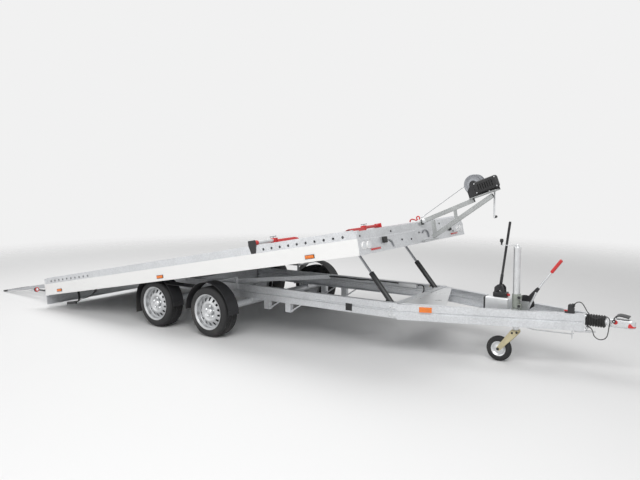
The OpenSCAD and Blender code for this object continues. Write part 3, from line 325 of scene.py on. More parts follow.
def finish_of(name, colour, roughness=0.5, metal=0.0, variation=0.06, scale=8.0, grain=0.0,
              grain_scale=400.0, spangle=0.0, coat=0.0, dirt=0.0):
    """colour * (1 +- variation * noise) with optional zinc spangle cells, dust that gathers in
    patches, roughness that follows the noise, and a bump of the given grain in metres."""
    material = bpy.data.materials.new(name)
    material.use_nodes = True
    tree = material.node_tree
    shader = tree.nodes["Principled BSDF"]
    shader.inputs["Metallic"].default_value = metal
    shader.inputs["Coat Weight"].default_value = coat
    place = node(tree, "TexCoord").outputs["Object"]
    cloud = node(tree, "TexNoise", {"Vector": place, "Scale": scale, "Detail": 6,
        "Roughness": 0.62}).outputs["Fac"]
    shade = node(tree, "ValToRGB", {"Fac": cloud})
    for step, where, share in zip(shade.color_ramp.elements, (0.3, 0.7), (1 - variation, 1 + variation)):
        step.position, step.color = where, (*np.minimum(np.array(colour) * share, 1), 1)
    tone = shade.outputs["Color"]
    if spangle:
        cells = node(tree, "TexVoronoi", {"Vector": place, "Scale": 90})
        grey = node(tree, "RGBToBW", {"Color": cells.outputs["Color"]})
        level = node(tree, "MapRange", {"Value": grey.outputs["Val"], "To Min": 1 - spangle, "To Max": 1.0})
        tone = node(tree, "Mix", {"Factor": 1, "A": tone, "B": level.outputs["Result"]}, data_type="RGBA",
            blend_type="MULTIPLY").outputs["Result"]
    if dirt:
        patch = node(tree, "TexNoise", {"Vector": place, "Scale": 3, "Detail": 9})
        amount = node(tree, "MapRange", {"Value": patch.outputs["Fac"], "From Min": 0.5, "From Max": 0.75,
            "To Max": dirt})
        tone = node(tree, "Mix", {"Factor": amount.outputs["Result"], "A": tone,
            "B": (0.32, 0.30, 0.27, 1)}, data_type="RGBA").outputs["Result"]
    tree.links.new(tone, shader.inputs["Base Color"])
    rough = node(tree, "MapRange", {"Value": cloud, "To Min": max(roughness - 0.1, 0.02),
        "To Max": min(roughness + 0.1, 1)})
    tree.links.new(rough.outputs["Result"], shader.inputs["Roughness"])
    if grain:
        fine = node(tree, "TexNoise", {"Vector": place, "Scale": grain_scale, "Detail": 4})
        bump = node(tree, "Bump", {"Height": fine.outputs["Fac"], "Distance": grain, "Strength": 0.6})
        tree.links.new(bump.outputs["Normal"], shader.inputs["Normal"])
    return material


# %% The finishes of this trailer
hot_dip = finish_of("hot_dip_zinc", (0.74, 0.755, 0.775), 0.42, 0.42, 0.07, 5, 0.0002, 300, spangle=0.16)
bright_zinc = finish_of("bright_zinc", (0.72, 0.73, 0.74), 0.3, 0.75, 0.06, 12, 0.0001, 500)
yellow_zinc = finish_of("yellow_zinc", (0.62, 0.55, 0.36), 0.35, 0.7, 0.12, 20, 0.0001, 500)
# The same aluminium as the ramp rungs, painted darker: painted shade for the ramps' side channels.
ramp_alloy_painted_shade = finish_of("ramp_alloy_painted_shade", (0.50, 0.51, 0.53), 0.42, 0.6, 0.08, 9, 0.0001, 600)
mill_alloy = finish_of("mill_alloy", (0.74, 0.75, 0.76), 0.38, 0.7, 0.05, 9, 0.0001, 600)
white_enamel = finish_of("white_enamel", (0.91, 0.91, 0.9), 0.34, 0.0, 0.012, 3, 0.00005, 200, coat=0.15)
red_enamel = finish_of("red_enamel", (0.62, 0.03, 0.03), 0.33, 0.0, 0.08, 9, 0.0001, 300, coat=0.2)
black_enamel = finish_of("black_enamel", (0.018, 0.018, 0.02), 0.38, 0.0, 0.2, 12, 0.0001, 400)
guard_plastic = finish_of("guard_plastic", (0.02, 0.02, 0.022), 0.55, 0.0, 0.2, 10, 0.0003, 500, dirt=0.15)
grip_plastic = finish_of("grip_plastic", (0.015, 0.015, 0.016), 0.45, 0.0, 0.15, 30, 0.0002, 700)
tyre_rubber = finish_of("tyre_rubber", (0.016, 0.016, 0.017), 0.68, 0.0, 0.22, 14, 0.0003, 600, dirt=0.12)
soft_rubber = finish_of("soft_rubber", (0.02, 0.02, 0.02), 0.6, 0.0, 0.2, 25, 0.0003, 700)
wheel_silver = finish_of("wheel_silver", (0.56, 0.57, 0.58), 0.33, 0.6, 0.05, 18, 0.0001, 700)
wire_steel = finish_of("wire_steel", (0.42, 0.43, 0.45), 0.4, 0.8, 0.15, 60, 0.0003, 900)
rod_chrome = finish_of("rod_chrome", (0.42, 0.43, 0.45), 0.18, 0.9, 0.05, 20)
orange_lens = finish_of("orange_lens", (0.85, 0.20, 0.01), 0.15, 0.0, 0.08, 40, 0.0003, 250, coat=0.6)
red_lens = finish_of("red_lens", (0.55, 0.01, 0.01), 0.15, 0.0, 0.08, 40, 0.0003, 250, coat=0.6)
clamp_grey = finish_of("clamp_grey", (0.27, 0.29, 0.26), 0.42, 0.5, 0.1, 14, 0.0001, 500)
deck_zinc = finish_of("deck_zinc", (0.50, 0.51, 0.52), 0.5, 0.35, 0.12, 3, 0.0002, 300, spangle=0.15,
    dirt=0.2)
stand_zinc = finish_of("stand_zinc", (0.46, 0.475, 0.47), 0.4, 0.55, 0.1, 6, 0.0002, 300, spangle=0.15)
dark_zinc = finish_of("dark_zinc", (0.30, 0.31, 0.33), 0.35, 0.7, 0.10, 14, 0.0001, 500)
clear_lens = finish_of("clear_lens", (0.78, 0.80, 0.82), 0.12, 0.1, 0.05, 40, 0.0003, 250, coat=0.6)

# %% [markdown]
# The supply cable of the lights comes first, because its route is fixed by the CAD: out of a gland in
# the coupling's flange, down in a loop, up over a hump and into a plug that is parked in its holder.
# The route is a smooth curve through chosen points, and a round outline is carried along it. At the
# gland a tapered sleeve of soft plastic keeps the cable from kinking, as on the real one.


# %% Supply cable of the lights
def smooth_path(points, steps):
    """Between b and c the curve is half of (2b + (c-a) t + (2a-5b+4c-d) t^2 + (3b-a-3c+d) t^3)."""
    p = np.asarray(points, float)
    p = np.concatenate([[2 * p[0] - p[1]], p, [2 * p[-1] - p[-2]]])
    a, b, c, d = (p[k:len(p) - 3 + k, None] for k in range(4))
    t = (np.arange(steps) / steps)[None, :, None]
    curve = (2 * b + (c - a) * t + (2 * a - 5 * b + 4 * c - d) * t ** 2
        + (3 * b - a - 3 * c + d) * t ** 3) / 2
    return np.concatenate([curve.reshape(-1, p.shape[1]), p[-2:-1]])


CORD_Y, CORD_D = -0.062, 0.0075
GLAND_X = 3.790 - MID_X
cord_line = smooth_path(mm("20,385 32,384 45,378 61,363 70,341 78,315 98,295 126,287 154,295 174,316 "
    "182,343 186,372 189,397 192,418 194,438 192,456 183,471 169,479 152,479 134,472 111,461 91,456 70,459 "
    "51,471 34,489 18,511 2,538 -12,560 -24,571 -38,576 -53,574 -65,567 -74,558"), 5)
cord_line = upright_line(cord_line + [GLAND_X, 0], CORD_Y)
cable = make("supply_cable", swept(circle(CORD_D / 2, 14), cord_line, upright=Y), soft_rubber, "chassis",
    instead_of=["electric_cable"], sharp=80)
sleeve_size = np.linspace(1, 0.62, 14) + 0.05 * (np.arange(14) % 2)
sleeve = make("cable_sleeve", swept(circle(0.0062, 18), cord_line[:14], upright=Y, scale=sleeve_size),
    grip_plastic, "chassis", sharp=60)

PLUG = np.array([GLAND_X - 0.074, CORD_Y, 0.558])
plug_way = np.array([-1, 0, -1]) / np.sqrt(2)
plug_profile = mm("1,0 5.5,0 6.2,3 8,10 12,11.5 16.5,14 17,18 16.2,19.5 17,21 16.2,22.5 17,24 17,50 1,50")
plug = make("lights_plug", turned(plug_profile, PLUG, plug_way, 40), grip_plastic, "chassis",
    instead_of=["parking_socket"])
FLANGE_TOP = 0.4783
holder_outline = mm("-127,490 -82,490 -79,517 -115,553 -124,548")
holder = flipped(plate(holder_outline[::-1], (GLAND_X, CORD_Y - 0.022, 0), X, Z, -0.044))
holder_foot = soft_box((3.640 - MID_X, CORD_Y - 0.022, FLANGE_TOP),
    (3.714 - MID_X, CORD_Y + 0.022, 0.491), 0.002)
make("plug_holder", [holder, holder_foot], guard_plastic, "chassis", bevel=0.0015)
tab = soft_box((3.632 - MID_X, CORD_Y - 0.013, 0.491), (3.664 - MID_X, CORD_Y + 0.013, 0.500), 0.002)
make("holder_catch", tab, red_enamel, "chassis")

# %% [markdown]
# The CAD nodes whose shape is already right only need a finish in place of their plain colour.

# %% Finishes on the CAD nodes
node_finish = {
    hot_dip: "rail_left rail_right crossbeams drawbar_left drawbar_right axle_front axle_rear deck "
             "guard_brackets tilt_brackets rail_brackets kerb_left kerb_right bed_beams bed_joists "
             "headboard rear_beam",
    stand_zinc: "winch_stand",
    grip_plastic: "parking_socket",
    bright_zinc: "corner_plates coupling_housing jockey_post jockey_inner coupling_head winch_crank "
                 "jockey_crank winch_drum",
    mill_alloy: "ramp_left ramp_right",
    white_enamel: "side_rail_left side_rail_right",
    guard_plastic: "mudguard_left mudguard_right",
    clamp_grey: "jockey_clamp",
    black_enamel: "hydraulic_pump winch_frame barrel_left barrel_right pump_lever "
                  "brake_lever coupling_handle",
    red_enamel: "wheel_stop_left wheel_stop_right",
    orange_lens: "reflectors lamps",
    wheel_silver: "rim_front_left rim_front_right rim_rear_left rim_rear_right",
    tyre_rubber: "tyre_front_left tyre_front_right tyre_rear_left tyre_rear_right",
    rod_chrome: "piston_left piston_right",
    wire_steel: "winch_cable",
    yellow_zinc: "jockey_fork",
    soft_rubber: "coupling_bellows jockey_wheel",
}
for finish, names in node_finish.items():
    for name in names.split():
        for slot in nodes[name].material_slots:
            slot.material = finish
print("nodes with a finish:", sum(len(names.split()) for names in node_finish.values()), "of", len(nodes))

# %% [markdown]
# The deck is laid from long planks. Each has a shallow rib every 20 mm against slipping, and a
# V-shaped joint where it meets the next, so the whole top is one section drawn along the bed.

# %% Deck planks
across = np.arange(-1.020, 1.0201, 0.0025)
in_rib = np.abs(across) % 0.020 < 0.0051
in_joint = np.abs((np.abs(across) + 0.073) % 0.146 - 0.073) < 0.003
top = 0.1318 + 0.0010 * in_rib - 0.0035 * in_joint
deck_line = np.concatenate([[[-1.020, 0.1152], [1.020, 0.1152]], np.stack([across, top], -1)[::-1]])
deck_planks = plate(deck_line, (0.004, 0, 0), Y, Z, 4.650)
make("deck_planks", placed(deck_planks, on_bed), deck_zinc, "bed", instead_of=["deck"], sharp=20)

# %% [markdown]
# A tyre is a section carried round the wheel. The tread is worked into the same surface: four long
# grooves run round it, and slanted cross grooves break the shoulders into blocks.


# %% Tyres
WHEELS = {"front_left": (0.4, 1), "front_right": (0.4, -1), "rear_left": (-0.4, 1),
    "rear_right": (-0.4, -1)}
WHEEL_Y, WHEEL_R, BEAD, TURNS = 0.885, 0.2575, 0.1705, 210


def tyre_shape(x, y):
    """Section (r, h) from bead to bead, r lowered by a groove depth wherever |h - groove| is small
    or the slanted wave of the cross grooves dips; turned about Y at (x, y)."""
    key = mm("170.5,-78 174.5,-90 200.5,-94.5 223.5,-94 242.5,-88 253.5,-74 257,-50 257.5,0")
    key = np.concatenate([key, key[-2::-1] * [1, -1]])
    reach = np.concatenate([[0], np.cumsum(np.linalg.norm(np.diff(key, axis=0), axis=1))])
    s = np.linspace(0, reach[-1], 96)
    r, h = np.interp(s, reach, key[:, 0]), np.interp(s, reach, key[:, 1])
    t = np.arange(TURNS) * 2 * np.pi / TURNS
    tread = np.clip((r - (WHEEL_R - 0.012)) / 0.010, 0, 1)
    long_groove = np.exp(-((h[:, None] - np.array([-0.05, -0.017, 0.017, 0.05])) / 0.0042) ** 4).max(1)
    wave = (t[None] * 60 / (2 * np.pi) + 22 * np.abs(h)[:, None]) % 1
    cross = (wave < 0.2) * (np.abs(h) > 0.022)[:, None]
    depth = 0.007 * tread[:, None] * np.maximum(long_groove[:, None], 0.75 * cross)
    rib = 0.0008 * np.exp(-((r[:, None] - (BEAD + np.array([0.018, 0.044]))) / 0.0016) ** 2).max(1)
    rr = r[:, None] - depth
    hh = (h + np.sign(h) * rib)[:, None] + 0 * rr
    points = np.stack([x + rr * np.cos(t), y + hh, WHEEL_R + rr * np.sin(t)], -1).reshape(-1, 3)
    return flipped((points, grid_faces(len(s), TURNS)))


def tyre_inside(x, y):
    """The wall between the two beads, a little below them, that closes the section."""
    t = np.arange(TURNS) * 2 * np.pi / TURNS
    h = np.array([[-0.078], [0.078]])
    points = np.stack([x + BEAD * np.cos(t) + 0 * h, y + h + 0 * t, WHEEL_R + BEAD * np.sin(t) + 0 * h], -1)
    return points.reshape(-1, 3), grid_faces(2, TURNS)


for where, (x, side) in WHEELS.items():
    x0 = x - MID_X
    make("tyre_skin_" + where, [tyre_shape(x0, side * WHEEL_Y), tyre_inside(x0, side * WHEEL_Y)],
        tyre_rubber, "wheel_" + where, instead_of=["tyre_" + where], sharp=40)

# %% [markdown]
# The wheel is a pressed steel disc in a rolled rim. The disc's slots are left out of the grid of
# faces, and a Solidify modifier then gives the sheet its thickness, edges of the slots included.


# %% Wheels
SLOTS = 14


def disc_shape(x, y, outward):
    """Rings (r, h) of the pressed disc by angle; the faces of two rings are left out over two fifths
    of each fourteenth of a turn, with the corners of each slot drawn in to round it."""
    rings = mm("30,34 48,40 60,46 74,62 88,70 103,66 112,60 124,54 136,47 148,41 158,38 163,44")
    per = 10
    n = SLOTS * per
    t = np.arange(n) * 2 * np.pi / n
    phase = np.arange(n) % per
    r = np.repeat(rings[:, :1], n, 1)
    h = np.repeat(rings[:, 1:], n, 1)
    edge = np.isin(phase, [3, 7])
    r[6, edge] += 0.004
    r[9, edge] -= 0.004
    points = np.stack([x + r * np.cos(t), y + outward * h, WHEEL_R + r * np.sin(t)], -1).reshape(-1, 3)
    ring_no = np.repeat(np.arange(len(rings) - 1), n)
    turn_no = np.tile(phase, len(rings) - 1)
    open_cell = np.isin(ring_no, [6, 7, 8]) & np.isin(turn_no, [3, 4, 5, 6])
    faces = np.array(grid_faces(len(rings), n))[~open_cell]
    return points, (faces if outward < 0 else faces[:, ::-1]).tolist()


def rim_band(x, y, outward):
    """The rolled rim: a closed section (r, h) turned about the axle."""
    section = mm("170,-80 182.5,-90 182.5,-94 179,-94.5 164,-82 154,-60 150,-20 156,30 164,46 164,82 "
        "179,94.5 182.5,94 182.5,90 170,80 168,60 160,40 154,-18 158,-58")
    section[:, 1] *= outward
    shape = turned(section, (x, y, WHEEL_R), Y, 96, wrap=True)
    return shape if outward < 0 else flipped(shape)


def nut(centre, axis, across=0.021, height=0.016):
    """A wheel bolt's head: a six-sided prism with a turned washer face and a domed end."""
    a = np.asarray(axis, float)
    r = across / 2 / np.cos(np.pi / 6)
    head = turned([[r * 0.9, 0.0], [r, 0.002], [r, height * 0.75], [r * 0.7, height]], centre, a, 6)
    collar = turned([[r * 1.15, -0.002], [r * 1.15, 0.002]], centre, a, 20)
    return joined(head, collar)


for where, (x, side) in WHEELS.items():
    x0, y0, body = x - MID_X, side * WHEEL_Y, "wheel_" + where
    disc = make("wheel_disc_" + where, disc_shape(x0, y0, side), wheel_silver, body,
        instead_of=["rim_" + where], sharp=50)
    sheet = disc.modifiers.new("sheet", "SOLIDIFY")
    sheet.thickness, sheet.offset = 0.0035, -1
    make("wheel_rim_" + where, rim_band(x0, y0, side), wheel_silver, body, sharp=40)
    t = np.arange(5) * 2 * np.pi / 5 + 0.3
    bolts = [nut((x0 + 0.056 * np.cos(k), y0 + side * 0.046, WHEEL_R + 0.056 * np.sin(k)), (0, side, 0))
        for k in t]
    hub = turned(mm("1,-30 33.5,-30 33.5,50 31.5,66 26,72 12,74.5 1,75"), (x0, y0, WHEEL_R), (0, side, 0),
        40)
    make("wheel_bolts_" + where, [hub, *bolts], bright_zinc, body, sharp=30)
    drum = turned(mm("34,-66 136,-66 142,-60 142,-45 139,-43 139,18 134,23 34,23"), (x0, y0, WHEEL_R),
        (0, side, 0), 72, wrap=True)
    make("brake_drum_" + where, drum, black_enamel, body)
    valve = rod(0.004, (x0 + 0.146, y0 + side * 0.045, WHEEL_R + 0.02),
        (x0 + 0.152, y0 + side * 0.072, WHEEL_R + 0.021), sides=10)
    make("wheel_valve_" + where, valve, soft_rubber, body)

# %% [markdown]
# The lamps: orange side markers on dark bases, round white position lamps at the front corners, and
# a red strip inside each of them.

# %% Lamps
lenses, bases = [], []
for side in (-1, 1):
    for u in (0.313, 2.2, 4.186):
        y = sorted((side * BED_HALF, side * (BED_HALF + 0.0035)))
        bases.append(placed(soft_box((u - 0.052, y[0], 0.027), (u + 0.052, y[1], 0.063), 0.0015), on_bed))
        y = sorted((side * (BED_HALF + 0.0035), side * (BED_HALF + 0.0095)))
        lenses.append(placed(soft_box((u - 0.046, y[0], 0.031), (u + 0.046, y[1], 0.059), 0.0028), on_bed))
make("marker_bases", bases, grip_plastic, "bed", instead_of=["lamps"])
make("marker_lenses", lenses, orange_lens, "bed")

rings, whites = [], []
for side in (-1, 1):
    for y in (side * 0.990, side * 0.911):
        centre = on_bed([BED_LEN, y, 0.076])
        rings.append(turned(mm("1,0 34,0 34,6 30,9 27.5,7.5 1,7.5"), centre, ALONG_BED, 36))
        whites.append(turned(mm("27.5,6.5 26.5,8.5 18,9.5 1,9.8"), centre, ALONG_BED, 36))
make("front_lamp_rings", rings, white_enamel, "bed")
make("front_lamp_lenses", whites, clear_lens, "bed")
strips = [placed(soft_box((4.698, y - 0.078, 0.024), (4.7065, y + 0.078, 0.041), 0.0015), on_bed)
    for y in (-0.806, 0.806)]
make("front_red_strips", strips, red_lens, "bed")

# %% [markdown]
# Outline lamps stand out from the rear corners on rubber stalks that bend instead of breaking. The
# stalk is ribbed like a short bellows; the lamp shines pale to the front and red to the rear.

# %% Stalk lamps
LAMP, stalks, fronts, rears = (-0.044, 1.140, 0.092), [], [], []
for side in (-1, 1):
    way = np.linspace(0, 1, 37)[:, None]
    line = np.array([-0.011, 1.045, 0.060]) * (1 - way) + np.array([-0.066, 1.136, 0.0905]) * way
    ribs = 0.0085 + 0.0014 * np.cos(way[:, 0] * 9 * 2 * np.pi)
    stalk = swept(circle(1.0, 20), line, scale=ribs)
    foot = soft_box((-0.0102, 1.026, 0.021), (-0.0004, 1.062, 0.099), 0.003)
    body = turned(mm("1,6 28,6 29.8,8 29.8,30 28.5,31.5 1,31.5"), LAMP, (-1, 0, 0), 40)
    stalks += [placed(mirrored(shape, side), on_bed) for shape in (stalk, foot, body)]
    lens_front = turned(mm("1,0.2 12,0.6 15.5,3 15.5,7.5 1,7.5"), LAMP, (-1, 0, 0), 40)
    rim_front = turned(mm("15.8,3 19,1 24.5,2 28.5,6.2 15.8,6.2"), LAMP, (-1, 0, 0), 40, wrap=True)
    rears.append(placed(mirrored(rim_front, side), on_bed))
    lens_rear = turned(mm("1,31 27.5,31 26.8,37 21,41.5 11,43.5 1,43.9"), LAMP, (-1, 0, 0), 40)
    fronts.append(placed(mirrored(lens_front, side), on_bed))
    rears.append(placed(mirrored(lens_rear, side), on_bed))
make("stalk_lamp_bodies", stalks, grip_plastic, "bed")
make("stalk_lamp_fronts", fronts, clear_lens, "bed")
make("stalk_lamp_rears", rears, red_lens, "bed")

hangers = []
for side in (-1, 1):
    block = soft_box((0.343, 0.986, -0.146), (0.525, 1.014, -0.112), 0.004)
    drop = smooth_path(mm("600,-0.5 603,-50 592,-100 560,-122 500,-130"), 6)
    brace = smooth_path(mm("972,-0.5 935,-26 860,-62 760,-86 604,-100"), 6)
    straps = [swept(rounded_outline(0.006, 0.030, 0.002, 3), upright_line(line, 1.0), upright=Y)
        for line in (drop, brace)]
    hangers += [placed(mirrored(shape, side), on_bed) for shape in (block, *straps)]
make("under_bed_hangers", hangers, black_enamel, "bed")

# %% [markdown]
# Wheel stops reach in over the deck: a sleeve pinned to the kerb, a round tube that slides in it and
# is held by a clamp with a toggle, and a shoe bent from sheet. The sloped end meets the tyre.


# %% Wheel stops
STOP_W = 0.238


def shoe_shape():
    """A bent sheet: outer and inner line of the section, carried in y; the inner end is cut on a slope,
    so its y grows with the height w as 0.304 + 4.17 * (w - 0.211)."""
    outer = mm("-60,133.5 -29.2,234 -27.5,240 -24,243.8 -20,245 20,245 24,243.8 27.5,240 29.2,234 60,133.5")
    inner = mm("-55,133.5 -24.5,232 -23.2,236.2 -21.2,239 -18.5,240 18.5,240 21.2,239 23.2,236.2 24.5,232 "
        "55,133.5")
    m = len(outer)
    ring = np.concatenate([outer[::-1], inner])
    start = 0.304 + np.maximum(ring[:, 1] - 0.211, 0) * 4.17
    rows = np.linspace(0, 1, 6)[:, None]
    y = start * (1 - rows) + 0.7105 * rows
    points = np.stack([ring[:, 0] + 0 * y, y, ring[:, 1] + 0 * y], -1).reshape(-1, 3)
    faces = [face[::-1] for face in grid_faces(6, 2 * m)]
    k, last = np.arange(m - 1), 5 * 2 * m
    pair = np.stack([k, k + 1, 2 * m - 2 - k, 2 * m - 1 - k], -1)
    return points, faces + pair.tolist() + (last + pair[:, ::-1]).tolist()


def edge_plate(corners, y, thickness):
    """A plate across the bed's length between y and y + thickness, its corners rounded."""
    return plate(smooth_outline(corners, 0.004), (0, y + thickness, 0), X, Z, thickness)


def set_stop(side, u, *shapes):
    """Shapes drawn for the left side of the level bed, moved along it to u; the right is their image."""
    return placed(mirrored(joined(*shapes), side), lambda points: on_bed(points + [u, 0, 0]))


tongue_line = mm("-45,264 -48,218 -26,142 -10,134 10,134 26,142 48,218 45,264")
end_line = mm("-60,133.5 60,133.5 26,260 -26,260")
tube_line = mm("1,716 17.8,716 17.8,1050 1,1050")
stop_sleeve_line = mm("18.2,982 22.8,982 22.9,1000 22.2,1001 22.2,1030 22.9,1031 22.9,1053.3 18.2,1053.3")
for side, name, u in ((1, "left", 3.650), (-1, "right", 3.540)):
    tube = turned(tube_line, (0, 0, STOP_W), Y, 36)
    stop_sleeve = turned(stop_sleeve_line, (0, 0, STOP_W), Y, 40, wrap=True)
    tongue = edge_plate(tongue_line, 1.0533, 0.0060)
    clamp = soft_box((-0.026, 0.731, 0.2142), (0.026, 0.760, 0.2615), 0.003)
    make("stop_shoe_" + name, set_stop(side, u, shoe_shape(), edge_plate(end_line, 0.7105, 0.0095)),
        red_enamel, "bed", instead_of=["wheel_stop_" + name], bevel=0.0008)
    make("stop_sleeve_" + name, set_stop(side, u, stop_sleeve, clamp), red_enamel, "bed", bevel=0.0006)
    make("stop_tube_" + name, set_stop(side, u, tube), bright_zinc if side < 0 else red_enamel, "bed")
    make("stop_tongue_" + name, set_stop(side, u, tongue), black_enamel if side < 0 else red_enamel,
        "bed", bevel=0.0008)
    screw = turned(mm("1,259 5.5,259 5.5,279 1,280"), (0, 0.745, 0), Z, 20)
    toggle = rod(0.0042, (-0.034, 0.745, 0.276), (0.034, 0.745, 0.276), sides=14)
    caps = [turned(mm("1,-4 5.5,-4 6.5,0 5.5,4 1,4"), (e * 0.034, 0.745, 0.276), X, 16) for e in (-1, 1)]
    make("stop_toggle_" + name, set_stop(side, u, screw, toggle, *caps), dark_zinc, "bed")

# %% [markdown]
# The headboard is one folded sheet: flat below, a small step back at the crease, and a narrow lip
# bent over at the top. Bolts, a rubber knob and a small hoop sit on its front face.

# %% Headboard
fold = mm("4699,0 4704.5,0.8 4704.5,3 4700,42 4700,125 4692.5,132.5 4692.5,196 4691.5,199 4689,200 "
    "4670,200 4664.5,198.5 4664.5,195.5 4688,196 4689.5,194.5 4689.5,131.5 4696.5,124 4696.5,42")
sheet = placed(plate(fold, (0, 1.065, 0), X, Z, 2.13), on_bed)
make("headboard_sheet", sheet, hot_dip, "bed", instead_of=["headboard"], sharp=20)


def on_front(shape, y, w, u=BED_LEN):
    """A shape drawn about the point (0, 0, 0), moved onto the headboard's front face."""
    return placed(shape, lambda points: on_bed(points + [u, y, w]))


bolt = turned(mm("9.5,-1 10,1.2 8.5,1.2 8.5,3.5 7,5.2 1,5.6"), (0, 0, 0), X, 20)
bolts = [on_front(bolt, y, w) for y, w in mm("20,104 -331,69 -151,57 331,69 790,60")]
bolts += [on_front(bolt, y, 0.160, 4.6925) for y in (-1.02, -0.5, 0.5, 1.02)]
make("headboard_bolts", bolts, black_enamel, "bed")
blocks = [on_front(soft_box((-0.0005, -0.024, -0.027), (0.030, 0.024, 0.027), 0.005, 5), -0.661, 0.095),
    on_front(soft_box((-0.0005, -0.018, -0.016), (0.022, 0.018, 0.016), 0.004, 5), 0.703, 0.085)]
make("headboard_buffers", blocks, soft_rubber, "bed")
HOOP_U = 4.7065
bends = (mm("-632,78 -622,87 -594,91 -560,85 -527,66 -507,32 -505,20"), mm("85,96 108,114 150,118 186,104 "
    "202,82 206,58 206,45"))
lines = [np.insert(smooth_path(bend, 6), 0, HOOP_U, axis=1) for bend in bends]
hoops = [swept(circle(0.0062, 14), line, upright=X) for line in lines]
make("headboard_hoops", placed(joined(*hoops), on_bed), dark_zinc, "bed", sharp=60)
cap = soft_box((4.7105, 0.0785, 0.172), (4.7190, 0.1215, 0.2245), 0.002)
make("stand_cap", placed(cap, on_bed), grip_plastic, "bed")
collar_line = [(4.724, 0.1, 0.2051), (4.752, 0.1, 0.2114)]
make("stand_collar", placed(swept(rounded_outline(0.0415, 0.0415, 0.004, 4), collar_line), on_bed),
    bright_zinc, "bed", bevel=0.0008)

# %% [markdown]
# Two lift cylinders push the bed up. Each is a black tube with a welded eye, a screwed gland with two
# spanner grooves at its open end, and a bright rod with an eye of its own. All are turned profiles.


# %% Lift cylinders
STRUT_FOOT = np.array([2.235 - MID_X, 0.455, 0.458])
strut_run = on_bed([4.235, 0.455, 0.088]) - STRUT_FOOT
STRUT_LEN = np.linalg.norm(strut_run)
way = strut_run / STRUT_LEN
below = np.array([-way[2], 0, way[0]])
tube_profile = mm("1,12 21,12 25,17 25,306 24.2,307 24.2,309 25,310 25,318 24,319 24,325 25,326 25,334 "
    "24,335 24,341 25,342 25,347 23,350 16.5,350 16,348.5 12.8,348.5 12.2,345 12.2,46 1,46")
eye_ring = mm("10.1,-21 16.5,-21 18,-19.5 18,19.5 16.5,21 10.1,21")
rod_profile = [[0.001, 0.320], [0.012, 0.320], [0.012, STRUT_LEN - 0.020], [0.016, STRUT_LEN - 0.012],
    [0.001, STRUT_LEN - 0.011]]
for side, name in ((1, "left"), (-1, "right")):
    foot = STRUT_FOOT * [1, side, 1]
    root = foot + way * 0.060
    port = rod(0.008, root + below * 0.021, root + below * 0.035, upright=Y, sides=6)
    fitting = rod(0.0055, root + below * 0.034, root + below * 0.048, upright=Y, sides=18)
    make("cylinder_tube_" + name, [turned(tube_profile, foot, way, 48),
        turned(eye_ring, foot, Y, 40, wrap=True), port], black_enamel, "barrel_" + name,
        instead_of=["barrel_" + name], sharp=30)
    make("cylinder_fitting_" + name, fitting, yellow_zinc, "barrel_" + name)
    top = foot + way * STRUT_LEN
    pin = turned(mm("1,-29 9,-29 10,-28 10,28 9,29 1,29"), top, Y, 32)
    make("piston_rod_" + name, [turned(rod_profile, foot, way, 40),
        turned(eye_ring * [1, 0.95], top, Y, 40, wrap=True), pin], rod_chrome, "piston_" + name,
        instead_of=["piston_" + name], sharp=30)

# %% [markdown]
# A ramp is a ladder: two tapered channels, a web with an upper and a lower flange, and twelve folded
# rungs between them whose top edges are cut into teeth for grip. Black tips shield the ground.
# The channels get a darker copy of the rungs' aluminium: painted shade on the ramp's sides.


# %% Ramps
def on_ramp(points, side):
    """Points (t, v, h) along, across and above a ramp, sloped from its hook down to the ground."""
    t, v, h = np.moveaxis(np.asarray(points, float), -1, 0)
    return np.stack([HOOK[0] - t * np.cos(RAMP_DROP) - h * np.sin(RAMP_DROP) - MID_X, side * (0.400 + v),
        HOOK[1] - t * np.sin(RAMP_DROP) + h * np.cos(RAMP_DROP)], -1)


def rung(t0, width=0.354, teeth=22):
    """A hat profile (t, h) carried across; its top rises and falls as a triangle wave of the teeth."""
    outline = mm("2,-14 2,1.5 38,1.5 38,-14 35.5,-14 35.5,-1.5 4.5,-1.5 4.5,-14")
    n = teeth * 4 + 1
    v = 0.003 + np.linspace(0, width, n)
    wave = 0.0045 * np.clip(1.4 * np.abs((np.arange(n) / 4 % 1) * 2 - 1) - 0.2, 0, 1)
    top = (outline[:, 1] > 0).astype(float)
    points = np.stack([t0 + outline[:, 0] + 0 * v[:, None], v[:, None] + 0 * outline[:, 0],
        outline[:, 1] + wave[:, None] * top], -1)
    return capped(points)


def ramp_beam(v0, outer):
    """A web of the tapered outline, and two flanges carried along its upper and lower edge."""
    web = mm("0,15 60,15 1470,9 1470,-9 30,-40 12,-12")
    web_v = v0 if outer else v0 + 0.026
    flat = plate(smooth_outline(web[::-1], 0.006, 4), (0, web_v + 0.004, 0), X, Z, 0.004)
    strip = rounded_outline(0.030, 0.004, 0.0015, 3)
    upper = swept(strip, [(0.010, v0 + 0.015, 0.013), (0.060, v0 + 0.015, 0.013),
        (1.470, v0 + 0.015, 0.007)])
    lower = swept(strip, [(0.030, v0 + 0.015, -0.038), (0.75, v0 + 0.015, -0.0225),
        (1.470, v0 + 0.015, -0.007)])
    return joined(flat, upper, lower)


